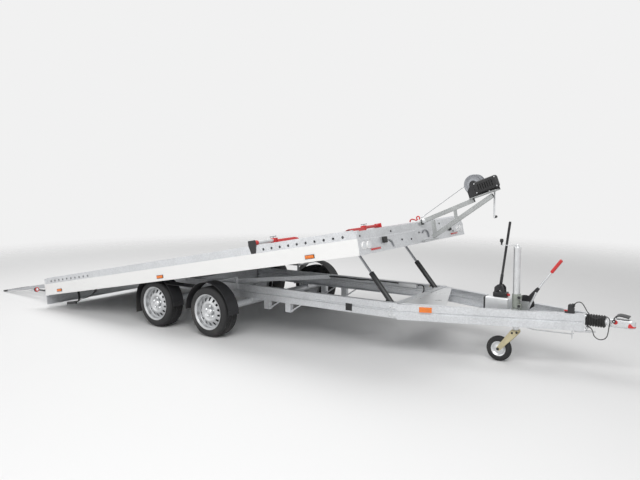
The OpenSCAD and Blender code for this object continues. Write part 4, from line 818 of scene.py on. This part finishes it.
eye = turned(mm("8.1,0 13.5,0 15,1.5 15,28.5 13.5,30 8.1,30"), (0, 0, 0), Y, 28, wrap=True)
for side, name in ((1, "left"), (-1, "right")):
    ride = "ramp_" + name

    def set_down(*shapes, side=side):
        """Shapes drawn along a ramp, laid at their place, with the left one's faces turned outwards."""
        shape = placed(joined(*shapes), lambda points: on_ramp(points, side))
        return shape if side < 0 else flipped(shape)

    far_eye = placed(eye, lambda points: points + [0, 0.330, 0])
    beams = joined(ramp_beam(0.0, True), ramp_beam(0.330, False), eye, far_eye)
    rungs = [rung(0.060 + k * 1.48 / 12) for k in range(12)]
    # The channels take the darker copy of the alloy as painted shade on the ramp's sides.
    make("ramp_beams_" + name, set_down(beams), ramp_alloy_painted_shade, ride, instead_of=["ramp_" + name])
    make("ramp_rungs_" + name, set_down(*rungs), mill_alloy, ride, sharp=20)
    tips = [soft_box((1.462, v, -0.0088), (1.578, v + 0.030, 0.0088), 0.003) for v in (0.0, 0.330)]
    roller = turned(mm("1,0 8.5,0 9,1 9,359 8.5,360 1,360"), (1.580, 0, 0), Y, 24)
    make("ramp_tips_" + name, set_down(*tips, roller), grip_plastic, ride)

# %% [markdown]
# The winch: a drum of thin discs with a wound rope, a black cover over the gears, and a cranked
# handle. The rope's coils are one tube that climbs the drum as a helix.

# %% Winch
WINCH_Y, DRUM, SHAFT = 0.1, (5.287, 0.463), (5.430, 0.386)
CORE_R, WIRE_R, COVER_TURN, CHEEK_TURN = 0.0375, 0.003, np.radians(10), np.radians(9.5)
CHEEK_AT = np.array([5.235, 0.336])


def drum_disc(y, outward):
    """A thin side disc with a rolled rim and a pressed ring, turned about the drum's axle."""
    profile = mm("9,0 40,0 46,3 78,3 84,0 90.5,0 92,1.5 90.5,3 84,2.8 78,5.5 46,5.5 40,2.5 9,2.5")
    return turned(profile, on_bed([DRUM[0], y, DRUM[1]]), (0, outward, 0), 56, wrap=True)


def wound_rope(y0, y1, radius, wire, layers=2):
    """A helix in layers: angle grows evenly, y runs to and fro, the radius steps out by each layer."""
    coils = int((y1 - y0) / (wire * 2.05))
    t = np.linspace(0, coils * layers * 2 * np.pi, coils * layers * 22)
    turn_no = t / (2 * np.pi)
    layer = np.minimum((turn_no / coils).astype(int), layers - 1)
    part = turn_no / coils - layer
    y = np.where(layer % 2 == 0, y0 + wire + part * (y1 - y0 - 2 * wire),
        y1 - wire - part * (y1 - y0 - 2 * wire))
    r = radius + wire + layer * wire * 1.75
    path = np.stack([DRUM[0] + r * np.cos(t), y, DRUM[1] + r * np.sin(t)], -1)
    return swept(circle(wire, 7), on_bed(path), upright=Y)


drum_y0, drum_y1 = 0.074, 0.146
core = pillar(CORE_R, drum_y1 - drum_y0 - 0.005, on_bed([DRUM[0], drum_y0 + 0.0025, DRUM[1]]), Y, 40)
axle_bolt = pillar(0.008, 0.091, on_bed([DRUM[0], 0.0645, DRUM[1]]), Y)
make("winch_drum_body", [drum_disc(drum_y0, 1), drum_disc(drum_y1, -1), core, axle_bolt], dark_zinc,
    "winch_drum", instead_of=["winch_drum"])
make("winch_drum_rope", wound_rope(drum_y0 + 0.004, drum_y1 - 0.004, CORE_R, WIRE_R), wire_steel,
    "winch_drum", sharp=80)


def on_cover(points):
    """Points (x, y, z) along and across the gear cover, turned by its slope onto the bed."""
    x, y, z = np.moveaxis(np.asarray(points, float), -1, 0)
    return on_bed(np.stack([5.314 + x * np.cos(COVER_TURN) - z * np.sin(COVER_TURN), y,
        0.364 + x * np.sin(COVER_TURN) + z * np.cos(COVER_TURN)], -1))


def cover_shape():
    """Outlines with large round corners, stacked in y and drawn in towards the outer face."""
    rings = []
    for inset, y in mm("0,64 0,50 2,49 2,36 4,30 8,26.2 14,24.5 30,24.2"):
        ring = rounded_outline(0.226 - 2 * inset, 0.116 - 2 * inset, max(0.024 - inset * 0.5, 0.008), 7)
        rings.append(np.stack([0.113 + ring[:, 0], np.full(len(ring), y), 0.058 + ring[:, 1]], -1))
    return placed(capped(np.stack(rings)), on_cover)


cover_ribs = [placed(soft_box((0.040 + 0.022 * k, 0.0242, 0.030), (0.048 + 0.022 * k, 0.0262, 0.086),
    0.0009), on_cover) for k in range(7)]
cover_screws = [placed(turned(mm("1,0 5.5,0 5,2.5 1,3"), (x, 0.0268, z), (0, -1, 0), 12), on_cover)
    for x, z in mm("16,16 210,16 210,100 16,100")]


def cheek(y0, thickness=0.004):
    """A side plate: the CAD cheek's outline, a sloping strip with a round head at the drum's axle."""
    a = np.linspace(np.radians(200), np.radians(-20), 24)
    head = np.stack([DRUM[0] + 0.037 * np.cos(a), DRUM[1] + 0.037 * np.sin(a)], -1)
    strip = mm("0,5.5 268,5.5 268,74.5 130,74.5")
    turn = np.array([[np.cos(CHEEK_TURN), np.sin(CHEEK_TURN)], [-np.sin(CHEEK_TURN), np.cos(CHEEK_TURN)]])
    start = np.array([[0.0, 0.0745]])
    outline = np.concatenate([strip @ turn + CHEEK_AT, head[::-1], start @ turn + CHEEK_AT])
    return placed(plate(outline, (0, y0 + thickness, 0), X, Z, thickness), on_bed)


def sloped(points):
    """Points of a level box, raised by their distance along the frame so that they follow the cheeks."""
    return on_bed(points + (points[:, :1] - CHEEK_AT[0]) * [0, 0, np.tan(CHEEK_TURN)])


base = soft_box((5.237, 0.067, 0.3445), (5.500, 0.153, 0.3485), 0.001)
make("winch_cheeks", [cheek(0.064), cheek(0.152), placed(base, sloped)], black_enamel, "bed",
    instead_of=["winch_frame"], bevel=0.0006)
make("winch_gear_cover", [cover_shape(), *cover_ribs], grip_plastic, "bed")
make("winch_cover_screws", cover_screws, bright_zinc, "bed")

# %% [markdown]
# The crank is a flat bar that hangs from its shaft, bent once and rounded, with a black grip that
# turns on a pin. The grip is a turned profile, thick in the middle.


# %% Winch crank
def crank_local(points):
    """Points drawn hanging straight down from the crank's shaft, on the tipped bed."""
    return np.asarray(points, float) + on_bed([SHAFT[0], 0, SHAFT[1]])


arm = soft_box((-0.008, 0.192, -0.253), (0.008, 0.2, 0.012), 0.0028, 5)
boss = turned(mm("9,0 16,0 16,12 13,14 9,14"), (0, 0.188, 0), Y, 24, wrap=True)
shaft = pillar(0.009, 0.146, (0, 0.0585, 0), Y)
nut_end = nut((0, 0.203, 0), Y, 0.016, 0.008)
make("winch_crank_arm", placed(joined(arm, boss, shaft, nut_end), crank_local), bright_zinc,
    "winch_crank", instead_of=["winch_crank"])
grip = turned(mm("1,0 10,0 12.5,4 12.8,20 11.8,36 12.5,46 10.5,54 1,55.5"), (0, 0.2005, -0.245), Y, 28)
make("winch_crank_grip", placed(grip, crank_local), grip_plastic, "winch_crank")

# %% [markdown]
# The winch rope is laid from six strands. A six-lobed outline turns as it is carried along the
# rope, so each lobe becomes a strand with the right slant.


# %% Winch rope with its hook
def laid_rope(start, end, radius, pitch=0.045, lobes=6):
    """Points start + s * (end - start) with an outline radius * (0.86 + 0.14 cos(lobes * (a - turn)))."""
    start, end = np.asarray(start, float), np.asarray(end, float)
    length = np.linalg.norm(end - start)
    s = np.linspace(0, 1, int(length / pitch * 10))
    a = np.arange(36) * 2 * np.pi / 36
    along = (end - start) / length
    side = np.cross(Y, along)
    side /= np.linalg.norm(side)
    top = np.cross(along, side)
    r = radius * (0.86 + 0.14 * np.cos(lobes * (a[None] - s[:, None] * length / pitch * 2 * np.pi)))
    points = (start + s[:, None, None] * (end - start) + (r * np.cos(a))[..., None] * side
        + (r * np.sin(a))[..., None] * top)
    return capped(points)


FOOT = np.array([4.690, 0.231])
run = np.array(DRUM) - FOOT
off = CORE_R + WIRE_R + 0.0003
lean = np.arctan2(run[1], run[0]) + np.arcsin(off / np.linalg.norm(run))
rope_way = np.array([np.cos(lean), np.sin(lean)])
top_end = FOOT + np.sqrt(np.linalg.norm(run) ** 2 - off ** 2) * rope_way
rope = laid_rope(on_bed([FOOT[0] + 0.012, WINCH_Y, FOOT[1] + 0.006]),
    on_bed([top_end[0], WINCH_Y, top_end[1]]), 0.0032)
make("winch_rope", rope, wire_steel, "bed", instead_of=["winch_cable"], sharp=80)
ferrule = [(x, WINCH_Y, z) for x, z in (FOOT + s * rope_way for s in (0.030, 0.062))]
make("rope_ferrule", placed(rod(0.0062, *ferrule, sides=18), on_bed), mill_alloy, "bed", bevel=0.0008)


def hook_path():
    """The hook's centre line: a round eye over the headboard's top edge, then a bill that curls back."""
    t = np.linspace(np.radians(-60), np.radians(235), 34)
    eye = np.stack([4.673 + 0.0165 * np.cos(t), 0.242 + 0.0165 * np.sin(t)], -1)
    bill = smooth_path(mm("4661,226.5 4648,224 4630,232 4610,239.5 4594,237 4583,227 4583,214"), 5)
    return upright_line(np.concatenate([eye, bill]), WINCH_Y)


hook = swept(circle(0.0062, 12), on_bed(hook_path()), upright=Y)
make("rope_hook", hook, red_enamel, "bed", sharp=60)

# %% [markdown]
# The jockey wheel: a zinc-plated post in a clamp, with a crank and a black knob on top, a fork of
# folded sheet, and a small solid tyre on a steel hub. The tyre is a section turned about the axle.

# %% Jockey wheel
JX, JY = 3.254 - MID_X, -0.130
TRAIL, JR = 0.142, 0.110
AXLE = (JX - TRAIL, JY, JR)

section = mm("62,-17 66,-24 80,-26.5 96,-25.5 105,-20 109.2,-11 110,-4 108.5,-1.5 108.5,1.5 110,4 109.2,11 "
    "105,20 96,25.5 80,26.5 66,24 62,17")
make("jockey_tyre", turned(section, AXLE, Y, 72, wrap=True), tyre_rubber, "jockey_wheel",
    instead_of=["jockey_wheel"])
hub = mm("8.5,-28 16.5,-28 17.5,-17 30,-10 48,-11 58,-20 65.5,-22.5 66.5,-19 62,-15 61.5,15 66.5,19 "
    "65.5,22.5 58,20 48,11 30,10 17.5,17 16.5,28 8.5,28")
make("jockey_hub", turned(hub, AXLE, Y, 56, wrap=True), bright_zinc, "jockey_wheel")

FORK_Z = 0.292
cheek_line = np.array([[-0.030, FORK_Z], [-TRAIL - 0.010, JR + 0.016], [-TRAIL - 0.014, JR - 0.004],
    [-TRAIL + 0.012, JR - 0.018], [0.030, FORK_Z - 0.028], [0.030, FORK_Z]])
cheek_line = smooth_outline(cheek_line, 0.012)
fork = [plate(cheek_line, (JX, y, 0), X, Z, 0.0045) for y in (JY - 0.0315, JY + 0.036)]
yoke = soft_box((JX - 0.030, JY - 0.036, FORK_Z - 0.008), (JX + 0.030, JY + 0.036, FORK_Z), 0.0025, 5)
make("jockey_fork_sheet", [*fork, yoke], yellow_zinc, "jockey_fork", instead_of=["jockey_fork"],
    bevel=0.0008)
pin = joined(pillar(0.008, 0.074, (AXLE[0], JY - 0.037, JR), Y),
    nut((AXLE[0], JY - 0.037, JR), (0, -1, 0), 0.019, 0.007),
    nut((AXLE[0], JY + 0.037, JR), Y, 0.019, 0.007))
make("jockey_axle", pin, black_enamel, "jockey_fork")

post_tube = turned(mm("24.5,315 30,315 30,985 30.5,987 30.5,1006 29,1010 1,1010"), (JX, JY, 0), Z, 48)
make("jockey_post_tube", post_tube, bright_zinc, "jockey_post", instead_of=["jockey_post"])
ARM_TURN = np.radians(216)
arm_way = np.array([np.cos(ARM_TURN), np.sin(ARM_TURN), 0])
arm_side = np.array([-np.sin(ARM_TURN), np.cos(ARM_TURN), 0])


def on_arm(points):
    """Points (along, across, up) from the top of the jockey post, turned into the crank's direction."""
    points = np.asarray(points, float)
    return points[:, :1] * arm_way + points[:, 1:2] * arm_side + points[:, 2:] * [0, 0, 1] + [JX, JY,
        1.0103]


collar = turned(mm("1,0 14.5,0 14.5,14 11,21 1,22"), (0, 0, 0), Z, 32)
bar = soft_box((-0.010, -0.007, 0.008), (0.142, 0.007, 0.0145), 0.002, 5)
make("jockey_crank_arm", placed(joined(collar, bar), on_arm), bright_zinc, "jockey_crank",
    instead_of=["jockey_crank"])
knob = turned(mm("1,14.8 7.5,14.8 6.5,26 8,34 14,42 15,50 14.8,58 12.5,65.5 7,67.2 1,67.6"),
    (0.135, 0, 0), Z, 32)
make("jockey_crank_knob", placed(knob, on_arm), grip_plastic, "jockey_crank")
handle_bar = rod(0.006, (JX + 0.040, JY - 0.012, 0.43), (JX + 0.075, JY - 0.030, 0.43), sides=14)
handle_cross = rod(0.0055, (JX + 0.075, JY - 0.030, 0.385), (JX + 0.075, JY - 0.030, 0.475), sides=14,
    upright=X)
make("clamp_handle", [handle_bar, handle_cross], bright_zinc, "chassis")
band_line = mm("30.3,483 35,483 36,486 36,602 35,605 30.3,605")
clamp_ears = [soft_box((JX + 0.020, JY - 0.040, z), (JX + 0.052, JY - 0.008, z + 0.036), 0.003)
    for z in (0.489, 0.563)]
make("clamp_band", [turned(band_line, (JX, JY, 0), Z, 48, wrap=True), *clamp_ears], clamp_grey, "chassis")
clamp_bolts = [nut((JX + 0.036, JY - 0.0402, z), (0, -1, 0), 0.019, 0.009) for z in (0.507, 0.581)]
fork_bolts = [nut((JX + x, JY - 0.0362, z), (0, -1, 0), 0.015, 0.006)
    for x, z in ((0.020, 0.276), (-0.020, 0.268))]
make("clamp_bolts", clamp_bolts, black_enamel, "chassis")
make("fork_bolts", fork_bolts, black_enamel, "jockey_fork")

# %% [markdown]
# The hand brake lever: a grey tube between a toothed sector and a red grip. The grip is a turned
# profile with shallow rings for the fingers.

# %% Brake lever
BRAKE, BRAKE_TIP, BRAKE_Y = np.array([3.296 - MID_X, 0.502]), np.array([3.590 - MID_X, 0.905]), -0.020
brake_len = np.linalg.norm(BRAKE_TIP - BRAKE)
lean = (BRAKE_TIP - BRAKE) / brake_len


def lever_point(s, off=0.0, y=BRAKE_Y):
    """The place a distance s along the lever and off to its front side."""
    return (BRAKE[0] + s * lean[0] + off * lean[1], y, BRAKE[1] + s * lean[1] - off * lean[0])


tube = rod(0.0085, lever_point(0.13), lever_point(0.385), sides=24)
make("brake_lever_tube", tube, bright_zinc, "brake_lever", instead_of=["brake_lever"])
s = np.linspace(0, 1, 60)
ring = 0.0145 + 0.0006 * np.cos(s * 12 * 2 * np.pi)
ring = ring * np.sqrt(np.clip(1 - np.maximum(np.abs(s - 0.5) * 2 - 0.9, 0) ** 2 * 60, 0.05, 1))
grip_run = (np.array(lever_point(brake_len)) - np.array(lever_point(0.36)))
make("brake_lever_grip", turned(np.stack([ring, s * np.linalg.norm(grip_run)], -1), lever_point(0.36),
    grip_run, 32), red_enamel, "brake_lever")
foot_axis_x, foot_axis_y = np.array([lean[1], 0, -lean[0]]), np.array([lean[0], 0, lean[1]])
cheek_outline = smooth_outline(mm("-30,-20 0,-34 26,-20 13,190 -12,190"), 0.012)
lever_sheets = [plate(cheek_outline, (BRAKE[0], BRAKE_Y + off, BRAKE[1]), foot_axis_x, foot_axis_y, 0.004)
    for off in (0.010, -0.006)]
make("brake_lever_cheeks", lever_sheets, black_enamel, "brake_lever", bevel=0.0006)
teeth = np.linspace(np.radians(-8), np.radians(112), 97)
reach_out = 0.078 + 0.0022 * (np.arange(97) % 4 < 2)
arc = np.stack([reach_out * np.cos(teeth), reach_out * np.sin(teeth)], -1)
sector = plate(np.concatenate([[[-0.020, -0.040], [0.030, -0.046]], arc, [[-0.034, 0.010]]]),
    (BRAKE[0], BRAKE_Y + 0.0025, BRAKE[1]), X, Z, 0.005)
make("brake_sector", sector, black_enamel, "chassis")
spring_tube = rod(0.0085, lever_point(-0.012, 0.046, BRAKE_Y - 0.022),
    lever_point(0.150, 0.012, BRAKE_Y - 0.022), sides=20)
spring_rod = rod(0.0045, lever_point(-0.040, 0.052, BRAKE_Y - 0.022),
    lever_point(-0.010, 0.0456, BRAKE_Y - 0.022), sides=14)
make("brake_spring", [spring_tube, spring_rod], bright_zinc, "brake_lever", bevel=0.0006)

# %% [markdown]
# The hydraulic hand pump: a pale tank with round edges, a black pump body with a clevis, and a long
# black lever in a socket.

# %% Hand pump
PX, PY, TANK_LOW, TANK_HIGH = 2.940 - MID_X, -0.020, 0.393, 0.545
EAR_X, PIN_Z = PX + 0.135, TANK_HIGH + 0.092
tank = soft_box((PX + 0.010, PY - 0.055, TANK_LOW), (PX + 0.226, PY + 0.055, TANK_HIGH), 0.016, 6)
make("pump_tank", tank, mill_alloy, "chassis", instead_of=["hydraulic_pump"])
end_cap = soft_box((PX, PY - 0.052, TANK_LOW + 0.004), (PX + 0.014, PY + 0.052, TANK_HIGH - 0.004), 0.006,
    5)
pump_body = soft_box((PX + 0.078, PY - 0.036, TANK_HIGH - 0.001),
    (PX + 0.200, PY + 0.036, TANK_HIGH + 0.044), 0.008, 5)
ear_line = mm("-50,0 -26,0 -20,52 0,60 20,52 23,0 46,0 40,84 16,108 -16,108 -43,84")
ear_line = smooth_outline(ear_line, 0.008)
ears = [plate(ear_line, (EAR_X, PY + e * 0.028 + 0.005, TANK_HIGH + 0.002), X, Z, 0.010) for e in (-1, 1)]
pivot = pillar(0.008, 0.074, (EAR_X, PY - 0.037, PIN_Z), Y)
piston = rod(0.011, (PX + 0.168, PY, TANK_HIGH + 0.045), (PX + 0.168, PY, TANK_HIGH + 0.066), upright=X,
    sides=20)
make("pump_body", [end_cap, pump_body, *ears, pivot, piston], black_enamel, "chassis", bevel=0.0008)
valve_knob = turned(mm("1,0 10,0 11,3 11,17 9,20 1,20"), (PX + 0.2, PY, TANK_HIGH + 0.022), X, 24)
make("pump_valve_knob", valve_knob, red_enamel, "chassis")
LEVER_FOOT = np.array([EAR_X, PY, PIN_Z])
lever_run = np.array([3.149 - MID_X, PY, 1.210]) - LEVER_FOOT
lever_len = np.linalg.norm(lever_run)
socket = turned([[0.001, 0.018], [0.0125, 0.018], [0.0130, 0.020], [0.0130, 0.105], [0.0115, 0.108],
    [0.0105, 0.110], [0.0105, 0.42], [0.011, 0.422], [0.011, lever_len - 0.004], [0.008, lever_len],
    [0.001, lever_len]], LEVER_FOOT, lever_run, 32)
socket_boss = turned(mm("8.2,0 21,0 22,2 22,40 21,42 8.2,42"), LEVER_FOOT - [0, 0.021, 0], Y, 36, wrap=True)
make("pump_lever_bar", [socket, socket_boss], black_enamel, "pump_lever", instead_of=["pump_lever"])

# %% [markdown]
# The overrun coupling: a cast housing on the drawbar, ribbed rubber bellows over the sliding shaft,
# and a pressed ball coupling with a black arched handle, a red wear button and a red soft nose.

# %% Coupling
CZ = 0.425
SHAFT_X0, HEAD_X0, HANDLE_X, BALL_X = 3.798 - MID_X, 3.960 - MID_X, 4.010 - MID_X, 4.125 - MID_X
folds, length = 7, 0.1417
h = np.linspace(0, length, folds * 12 + 1)
outer = 0.0475 - 0.0045 * np.cos(h / length * folds * 2 * np.pi)
outer[0] = outer[-1] = 0.044
profile = np.concatenate([np.stack([outer, h], -1), np.array([[0.0255, length], [0.0255, 0.0]])])
bellows = make("coupling_bellows_skin", turned(profile, (SHAFT_X0 + 0.0003, 0, CZ), X, 48, wrap=True),
    soft_rubber, "chassis", instead_of=["coupling_bellows"])
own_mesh(bellows)
handle_line = mm("4010,452 4012,470 4024,486 4045,492.5 4070,491 4095,486.5 4118,481.5")
handle_path = upright_line(handle_line - [MID_X, 0], 0)
handle_arc = swept(rounded_outline(0.099, 0.0085, 0.004, 5), handle_path[2:])
sides_of_handle = [swept(rounded_outline(0.0085, 0.018, 0.003, 4), handle_path[:4] + [0, y, 0], upright=Y)
    for y in (-0.0455, 0.0455)]
handle_boss = [turned(mm("6.2,0 13,0 13,8.5 6.2,8.5"), (HANDLE_X, y, CZ + 0.02), Y, 28, wrap=True)
    for y in (-0.05, 0.0415)]
make("coupling_handle_bow", [handle_arc, *sides_of_handle, *handle_boss], grip_plastic, "coupling_handle",
    instead_of=["coupling_handle"])

# %% [markdown]
# The ball head is pressed from sheet in one go, so its section changes smoothly: a rounded box that
# widens and then closes round the ball. A soft red pad wraps its nose; a red button shows the wear.


# %% Coupling head
def head_shape(nose=0.0388, rows=46, columns=44):
    """Half width b(x) is a straight taper, then sqrt(nose^2 - (x - ball)^2); each section is the curve
    (b * sgn(cos a) |cos a|^0.4, c * sgn(sin a) |sin a|^0.4) with height c that falls off at the nose."""
    q = np.linspace(0, 1, rows) ** 0.9
    x = HEAD_X0 + (BALL_X + nose - HEAD_X0 - 1e-4) * np.sin(q * np.pi / 2)
    b = np.where(x < BALL_X, 0.033 + (nose - 0.033) * (x - HEAD_X0) / (BALL_X - HEAD_X0),
        np.sqrt(np.maximum(nose ** 2 - np.maximum(x - BALL_X, 0) ** 2, 1e-6)))
    c = 0.036 - 0.007 * np.clip((x - BALL_X) / nose, 0, 1) ** 2
    mid = 0.4275 - 0.004 * np.clip((x - BALL_X) / nose, 0, 1) ** 2
    a = np.arange(columns) * 2 * np.pi / columns
    cy, cz = (np.sign(f(a)) * np.abs(f(a)) ** 0.4 for f in (np.cos, np.sin))
    points = np.stack([x[:, None] + 0 * a, b[:, None] * cy, mid[:, None] + c[:, None] * cz], -1)
    return capped(points)


def nose_pad():
    """A closed band round the ball's centre: its top edge swells to a dome on each side of the nose."""
    a = np.radians(np.linspace(-132, 132, 67))
    swell = 0.010 + 0.026 * np.exp(-((np.abs(np.degrees(a)) - 88) / 26) ** 2)
    swell = swell * np.clip((132 - np.abs(np.degrees(a))) / 10, 0.1, 1) ** 0.5
    r = np.array([0.0380, 0.0398, 0.0400, 0.0400, 0.0396, 0.0380])
    h = np.array([0.0, 0.001, 0.003, 0.86, 0.97, 1.0])
    z = np.where(h < 0.5, h, 0)[None] + np.where(h >= 0.5, h, 0)[None] * swell[:, None]
    points = np.stack([BALL_X + r * np.cos(a)[:, None], r * np.sin(a)[:, None], 0.4030 + z], -1)
    return capped(points)


shaft_bar = pillar(0.0248, 0.300, (3.662 - MID_X, 0, CZ), X, 40)
pivot_pin = turned(mm("1,-50.5 5.5,-50.5 6,-49 6,49 5.5,50.5 1,50.5"), (HANDLE_X, 0, CZ + 0.02), Y, 24)
rivets = [turned(mm("1,-39.5 7.5,-39.5 8.5,-36 8.5,36 7.5,39.5 1,39.5"), (x - MID_X, 0, z), Y, 24)
    for x, z in ((3.985, 0.410), (4.062, 0.440))]
make("ball_head", [head_shape(), shaft_bar, pivot_pin, *rivets], bright_zinc, "coupling_head",
    instead_of=["coupling_head"], sharp=45)
make("ball_head_pad", nose_pad(), red_enamel, "coupling_head", sharp=50)
button = [turned(mm("1,30 18,30 18,37.2 16.5,38.8 10,39.2 9,38.4 1,38.4"), (4.0192 - MID_X, 0, 0.4372),
    (0, side, 0), 36) for side in (-1, 1)]
make("wear_button", button, red_enamel, "coupling_head")
flange_bolts = [nut((3.7985 - MID_X, y, z), X, 0.019, 0.008) for y in (-0.054, 0.054)
    for z in (0.352, 0.466)]
grease = turned(mm("1,0 5,0 5,5 3.2,7 4.2,10 3,12.5 1,13"), (3.740 - MID_X, 0, CZ + 0.0365), Z, 18)
make("coupling_bolts", [*flange_bolts, grease], bright_zinc, "chassis")

# %% [markdown]
# Small fittings that the photograph shows on the chassis: the cradle of the pump, the brake rod
# below the drawbar, the hydraulic pipe with its valve block inside the far rail, and plugged holes.

# %% Chassis fittings
cradle_line = mm("2941,-326.5 2989,-311 2989,-75 3166,-75 3166,35 2989,35 2989,311 2941,326.5")
make("pump_cradle", plate(cradle_line, (-MID_X, 0, 0.388), X, Y, 0.0048), hot_dip, "chassis", bevel=0.0006)
brake_rod = rod(0.005, *on_chassis(mm("3292,-20,455 3262,-16,362 3235,-12,334 2600,0,318 620,0,300")),
    sides=14)
equaliser = soft_box((0.560 - MID_X, -0.085, 0.294), (0.625 - MID_X, 0.085, 0.306), 0.003)
push_rod = rod(0.0055, *on_chassis(mm("3300,-10,300 3361,0,283 3680,0,288 3700,0,296")), sides=14)
damper = turned(mm("1,0 11,0 12.5,2 12.5,60 9.5,61 9.5,165 1,166"), (3.700 - MID_X, 0, 0.321),
    (1, 0, 0.05), 28)
eye_bolt = rod(0.005, *on_chassis([[3.697, -0.050, 0.262], [3.697, -0.050, 0.336]]), upright=X, sides=14)
make("brake_rod", [brake_rod, equaliser, push_rod, damper, eye_bolt], bright_zinc, "chassis")
pipe = smooth_path(mm("876,505,462 1083,505,466 1277,505,462 1404,505,468 1628,505,470 1780,508,465"), 8)
loop_line = smooth_path(mm("2000,508,462 2030,508,470 2060,504,468 2076,500,440 2072,500,405 "
    "2056,502,392"), 8)
make("hydraulic_pipe", [*(rod(0.006, *on_chassis(line), sides=14) for line in (pipe, loop_line))],
    soft_rubber, "chassis", sharp=60)
valve_block = soft_box((1.790 - MID_X, 0.494, 0.432), (1.990 - MID_X, 0.526, 0.478), 0.004)
ends = [turned(mm("1,0 11,0 11,6 8,8 8,16 1,16"), (x - MID_X, 0.508, 0.463), (way, 0, 0), 24)
    for x, way in ((1.791, -1), (1.989, 1))]
make("valve_block", [valve_block, *ends], mill_alloy, "chassis")
plug_frame = soft_box((1.776 - MID_X, -0.5316, 0.362), (1.847 - MID_X, -0.5290, 0.430), 0.0012)
make("rail_plug", plug_frame, soft_rubber, "chassis")
joint_bolts = [nut((x - MID_X, side * 0.5303, z), (0, side, 0), 0.019, 0.008) for side in (-1, 1)
    for x in (2.290, 2.250) for z in (0.372, 0.446)]
make("rail_bolts", joint_bolts, bright_zinc, "chassis")

# %% [markdown]
# The studio is a pale floor under soft light from all round, with three large lamps for shape. The
# background shows as white only to the camera and to glossy metal, so it adds no light of its own.


# %% Floor, world and lamps
BACK_TONE, FLOOR_TONE, AMBIENT = 0.88, 0.825, 0.30


def pale_world():
    """White to camera, glossy and transmission rays, and a plain grey light to all others."""
    world = bpy.data.worlds.new("studio")
    bpy.context.scene.world = world
    world.use_nodes = True
    tree = world.node_tree
    tree.nodes.clear()
    path = node(tree, "LightPath").outputs
    gloss = node(tree, "Math", {0: path["Is Camera Ray"], 1: path["Is Glossy Ray"]}, operation="MAXIMUM")
    seen = node(tree, "Math", {0: gloss.outputs[0], 1: path["Is Transmission Ray"]}, operation="MAXIMUM")
    light = node(tree, "Background", {"Color": (1, 1, 1, 1), "Strength": AMBIENT})
    white = node(tree, "Background", {"Color": (BACK_TONE,) * 3 + (1,)})
    mix = node(tree, "MixShader", {0: seen.outputs[0], 1: light.outputs[0], 2: white.outputs[0]})
    node(tree, "OutputWorld", {"Surface": mix.outputs[0]})


def soft_lamp(name, place, target, size, watts):
    """A square lamp at a place, facing its target."""
    data = bpy.data.lights.new(name, "AREA")
    data.shape, data.size, data.energy = "SQUARE", size, watts
    lamp = bpy.data.objects.new(name, data)
    bpy.context.scene.collection.objects.link(lamp)
    back = np.asarray(place, float) - target
    back /= np.linalg.norm(back)
    side = np.cross(Z, back)
    side /= np.linalg.norm(side)
    matrix = np.eye(4)
    matrix[:3, 0], matrix[:3, 1], matrix[:3, 2], matrix[:3, 3] = side, np.cross(back, side), back, place
    lamp.matrix_world = matrix.T.tolist()


pale_world()
soft_lamp("key_lamp", (5.0, -6.0, 6.5), (0, 0, 0.5), 5.0, 470)
soft_lamp("top_lamp", (-3.0, 1.5, 7.5), (0, 0, 0.3), 6.0, 380)
soft_lamp("side_lamp", (-4.5, -7.5, 3.2), (-2.2, 0, 0.5), 5.0, 95)

FLOOR_R, FADE_FROM, FADE_TO = 30, 4.8, 11.0
floor_mesh = bpy.data.meshes.new("floor")
floor_mesh.from_pydata([(x, y, -0.001) for x, y in circle(FLOOR_R, 96)], [], [list(range(96))])
floor = bpy.data.objects.new("floor", floor_mesh)
bpy.context.scene.collection.objects.link(floor)
floor_paint = finish_of("floor_paint", (FLOOR_TONE,) * 3, 0.8, variation=0.004, scale=0.5)
tree = floor_paint.node_tree
far = node(tree, "VectorMath", {0: node(tree, "TexCoord").outputs["Object"]}, operation="LENGTH")
fade = node(tree, "MapRange", {"Value": far.outputs["Value"], "From Min": FADE_FROM, "From Max": FADE_TO},
    interpolation_type="SMOOTHSTEP")
below = node(tree, "NewGeometry").outputs["Backfacing"]
either = node(tree, "Math", {0: fade.outputs["Result"], 1: below}, operation="MAXIMUM")
both = node(tree, "MixShader", {"Fac": either.outputs[0], 1: tree.nodes["Principled BSDF"].outputs[0],
    2: node(tree, "BsdfTransparent").outputs[0]})
tree.links.new(both.outputs[0], tree.nodes["Material Output"].inputs["Surface"])
floor_mesh.materials.append(floor_paint)
bpy.context.scene.view_settings.view_transform = "Standard"
